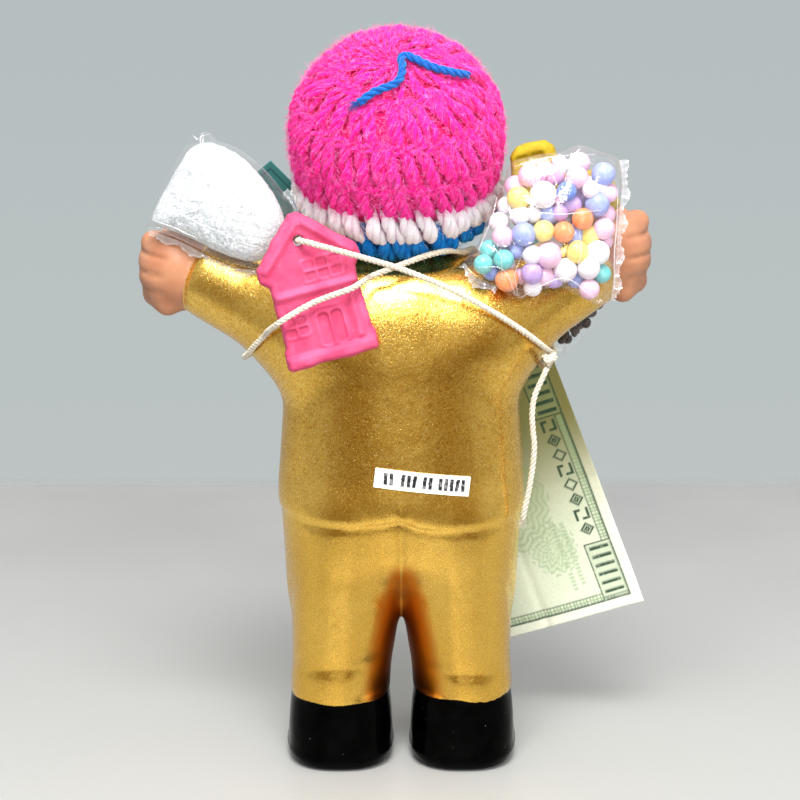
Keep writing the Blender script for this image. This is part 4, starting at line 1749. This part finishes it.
def small_ink(x, y, face):
    edge = np.minimum(np.minimum(-x, x + SMALL_WIDTH), np.minimum(-y, y + SMALL_HEIGHT))
    reach = np.hypot(x + SMALL_WIDTH / 2, y + SMALL_HEIGHT / 2)
    rings = 0.7 * (reach < 5.5) * stripe(reach % 1.2, 0.6, 0.25)
    lines = 0.5 * stripe((x + y) % 1.4, 0.7, 0.25) * (edge > 2)
    return {"dark": stripe(edge, 1.5, 0.2), "mid": np.maximum(rings, lines), "tint": 0.3}


def flat_sheet(width, height, cell):
    """Points of a flat sheet up to the corner (0, 0), its quads, and the wall to a second layer."""
    columns, rows = int(width / cell) + 1, int(height / cell) + 1
    x, y = np.meshgrid(np.linspace(-width, 0, columns), np.linspace(-height, 0, rows))
    index = np.arange(rows * columns).reshape(rows, columns)
    rim = np.concatenate([index[0, :-1], index[:-1, -1], index[-1, :0:-1], index[:0:-1, 0]])
    after = np.roll(rim, -1)
    wall = np.stack([rim, after, after + index.size, rim + index.size], 1)
    return x.ravel(), y.ravel(), grid_faces(1, rows, columns), wall


def sheet_mesh(name, size, cell, curl, frame_pair, ink, thickness):
    """A thin printed sheet of paper."""
    x, y, quad, wall = flat_sheet(*size, cell)
    base = curl(x, y)
    parts = []
    for side in (1, -1):
        points = np.column_stack([x, y, base + side * thickness / 2])
        parts.append((from_frame(points, frame_pair), quad[:, ::side], ink(x, y, side)))
    points, faces, values = join_parts(parts)
    return make_mesh(name, points, np.concatenate([faces, wall[:, ::-1]]), values)


def note_curl(x, y):
    base = -4.5 * (x / NOTE_WIDTH) ** 2 + 1.6 * (1 + y / NOTE_HEIGHT) * np.exp(x / 9)
    ripple = 0.35 * np.sin(y / 11 + 0.6) * np.exp(x / 14) + 0.18 * np.sin(y / 4.3 + x / 9)
    dents = -0.25 * np.exp(-((y + 35 + 0.1 * x) / 1.2) ** 2) - 0.3 * np.exp(-((x + 26) / 1.2) ** 2)
    corner = 1.6 * smooth_step(x - 0.6 * (y + 70), -8.5, 0) ** 2
    return base + ripple + dents + corner * 0.6


def small_curl(x, y):
    return 0.25 * np.sin(x / 5) * np.cos(y / 6)


def paper_material(name, paper, tint, mid, dark):
    g = Graph(name, **{"Roughness": 0.75, "Specular IOR Level": 0.3, "Sheen Weight": 0.1})
    fibre = g.noise(1.1, 5, 0.7)
    worn = g.ramp(g.noise(0.9, 4, 0.6), 0.3, 0.5, 0.72, 1.0)
    colour = g.blend(g.ramp(fibre, 0.35, 0.65), tuple(0.93 * c for c in paper), paper)
    for share, shade in (
        (g.ramp(g.noise(0.12, 3, 0.55), 0.45, 0.75, 0, 0.25), tint), (g.value("tint"), tint),
        (g.value("wash"), tone(118, 114, 52)), (g.times(g.value("mid"), worn), mid),
        (g.times(g.value("dark"), worn), dark),
    ):
        colour = g.blend(share, colour, shade)
    g.set({"Base Color": colour, "Normal": g.bump(fibre, 0.25, 0.0002)})
    return g.material


def label():
    """A paper label that follows the cloth under it, with one corner lifted."""
    x, y, quad, wall = flat_sheet(LABEL_WIDTH, LABEL_HEIGHT, LABEL_CELL)
    ink = np.max([strokes(x + LABEL_WIDTH, y + LABEL_HEIGHT, first, last, 0.85, 2.9, step, seed)
                  for first, last, step, seed in LABEL_WORDS], axis=0)
    u, v = x + LABEL_WIDTH / 2, y + LABEL_HEIGHT / 2
    place_x = LABEL_X - (u * math.cos(LABEL_TURN) - v * math.sin(LABEL_TURN))
    place_z = LABEL_Z + u * math.sin(LABEL_TURN) + v * math.cos(LABEL_TURN)
    skin = np.full(len(u), 18.0)
    for _ in range(8):
        skin -= 0.9 * clothes(np.column_stack([place_x, skin, place_z]))
    lift = 0.28 + 0.22 * smooth_step(u, LABEL_WIDTH / 2 - 2.0, LABEL_WIDTH / 2) * smooth_step(v, 0.5, 2.3)
    quad = quad[:, TURNED]
    points, faces, values = join_parts([
        (np.column_stack([place_x, skin + lift, place_z]), quad[:, ::-1], {"dark": ink}),
        (np.column_stack([place_x, skin + lift - 0.22, place_z]), quad, {"dark": 0.0}),
    ])
    piece = make_mesh("back_label", points, np.concatenate([faces, wall]), values)
    stock = paper_material("label_stock", tone(252, 252, 250), tone(236, 236, 230), tone(120, 120, 120),
                           tone(20, 20, 22))
    finish_piece(piece, stock, "label_paper", "label")


note = sheet_mesh("banknote_sheet", (NOTE_WIDTH, NOTE_HEIGHT), 0.34, note_curl, NOTE_FRAME, note_ink, 0.16)
finish_piece(note, paper_material("note_paper", tone(232, 236, 216), tone(196, 212, 178), tone(132, 158, 118),
                                  tone(44, 70, 52)), "banknote_paper", "banknote")
small = sheet_mesh("small_note_sheet", (SMALL_WIDTH, SMALL_HEIGHT), 0.3, small_curl, SMALL_FRAME,
                   small_ink, 0.3)
finish_piece(small, paper_material("teal_paper", tone(60, 122, 118), tone(34, 92, 92), tone(30, 96, 100),
                                   tone(16, 60, 70)), "small_note_paper", "small_note")
label()


# Table, room and lights
TABLE_BACK, TABLE_FRONT, TABLE_HALF = -0.285, 0.21, 1.1
TABLE_POINTS = 12


def build_table():
    xs = np.linspace(-TABLE_HALF, TABLE_HALF, TABLE_POINTS) / MM
    ys = np.linspace(TABLE_BACK, TABLE_FRONT, TABLE_POINTS) / MM
    x, y = np.meshgrid(xs, ys, indexing="ij")
    points = np.column_stack([x.ravel(), y.ravel(), np.zeros(x.size)])
    table = make_mesh("table", points, grid_faces(1, TABLE_POINTS, TABLE_POINTS)[:, TURNED], smooth=False)
    g = Graph("table_top", **{"Roughness": 0.42, "Specular IOR Level": 0.35})
    spot = g.add("TexCoord").outputs["Object"]
    mottle = g.add("TexNoise", {"Scale": 9.0, "Detail": 3.0, "Vector": spot}).outputs["Fac"]
    depth = g.add("SeparateXYZ", {"Vector": spot}).outputs["Y"]
    pale = g.blend(g.ramp(depth, -0.25, 0.03, smooth=False), tone(144, 145, 144), tone(165, 165, 162))
    pale = g.blend(g.ramp(mottle, 0.35, 0.65, 0, 0.5), pale, tone(160, 161, 159))
    g.set({"Base Color": g.blend(g.ramp(depth, 0.04, 0.20), pale, tone(98, 92, 80)),
           "Alpha": g.ramp(depth, -0.283, -0.262)})
    table.data.materials.append(g.material)


def build_room():
    """Soft light all round; reflections also see a window, a halo and a dark wall."""
    room = bpy.data.worlds.new("room")
    bpy.context.scene.world = room
    room.use_nodes = True
    g = Nodes(room.node_tree)
    direction = g.add("SeparateXYZ", {"Vector": g.add("TexCoord").outputs["Generated"]}).outputs
    x, y, z = direction["X"], direction["Y"], direction["Z"]
    path = g.add("LightPath").outputs
    glossy = path["Is Glossy Ray"]
    reach = g.math("ADD", g.times(y, 0.8), g.times(z, 0.4))
    aside = g.math("DIVIDE", x, g.math("MAXIMUM", reach, 0.25))
    halo = g.times(g.ramp(z, -0.32, -0.1), g.times(g.ramp(aside, -0.4, -0.1), g.ramp(aside, 0.1, 0.4, 1, 0)))
    dim = g.math("SUBTRACT", 1.0, g.times(halo, 0.84))
    dark = g.times(g.ramp(y, 0.5, 0.9), g.ramp(z, 0.05, 0.4, 1, 0), dim)
    light = g.blend(g.times(dark, glossy), (1.0, 1.0, 1.0), (0.47, 0.29, 0.03))
    soft_side = g.ramp(x, -1, 1, 1.4, 0.6, smooth=False)
    side = g.either(glossy, soft_side, g.ramp(x, -1, 1, 1.08, 0.88, smooth=False))
    strength = g.times(g.ramp(z, -0.3, 0.6, 0.55, 0.72), side, g.either(glossy, 1.15, 1.0))
    glow = g.times(halo, g.ramp(y, 0.3, 0.7), g.ramp(z, 0.2, 0.4, 0.2, 0), glossy)
    wide = g.times(g.ramp(aside, -0.14, 0.04), g.ramp(aside, 0.16, 0.42, 1, 0))
    window = g.times(g.ramp(z, 0.44, 0.64), wide, g.ramp(y, -0.45, -0.25), glossy, 19.0)
    strength = g.math("ADD", g.math("ADD", strength, glow), window)
    strength = g.times(strength, g.either(glossy, 1.0, g.ramp(z, -0.5, 0.0, 0.6, 1.0)))
    seen = g.blend(g.ramp(z, -0.25, -0.02, smooth=False), tone(189, 196, 195), tone(181, 190, 192))
    lit = g.add("Background", {"Color": light, "Strength": strength}).outputs[0]
    backdrop = g.add("Background", {"Color": seen, "Strength": 1.0}).outputs[0]
    both = g.add("MixShader", {0: path["Is Camera Ray"], 1: lit, 2: backdrop}).outputs[0]
    g.tree.links.new(both, g.add("OutputWorld").inputs[0])


def softbox(name, place, aim, size, power, reflected):
    lamp = bpy.data.lights.new(name, "AREA")
    lamp.shape = "RECTANGLE"
    lamp.size, lamp.size_y = size
    lamp.energy = power
    box = bpy.data.objects.new(name, lamp)
    box.location = place
    toward = np.array(place) - np.array(aim)
    tilt = math.atan2(math.hypot(toward[0], toward[1]), toward[2])
    box.rotation_euler = (tilt, 0, math.atan2(toward[0], -toward[1]))
    box.visible_camera = False
    box.visible_glossy = reflected
    bpy.context.scene.collection.objects.link(box)


build_table()
build_room()
softbox("softbox_top", (0.03, 0.43, 0.80), (0, 0, 0.11), (0.36, 0.34), 11.0, True)
softbox("softbox_front", (-0.10, 0.62, 0.26), (0, 0, 0.12), (0.40, 0.30), 2.5, False)
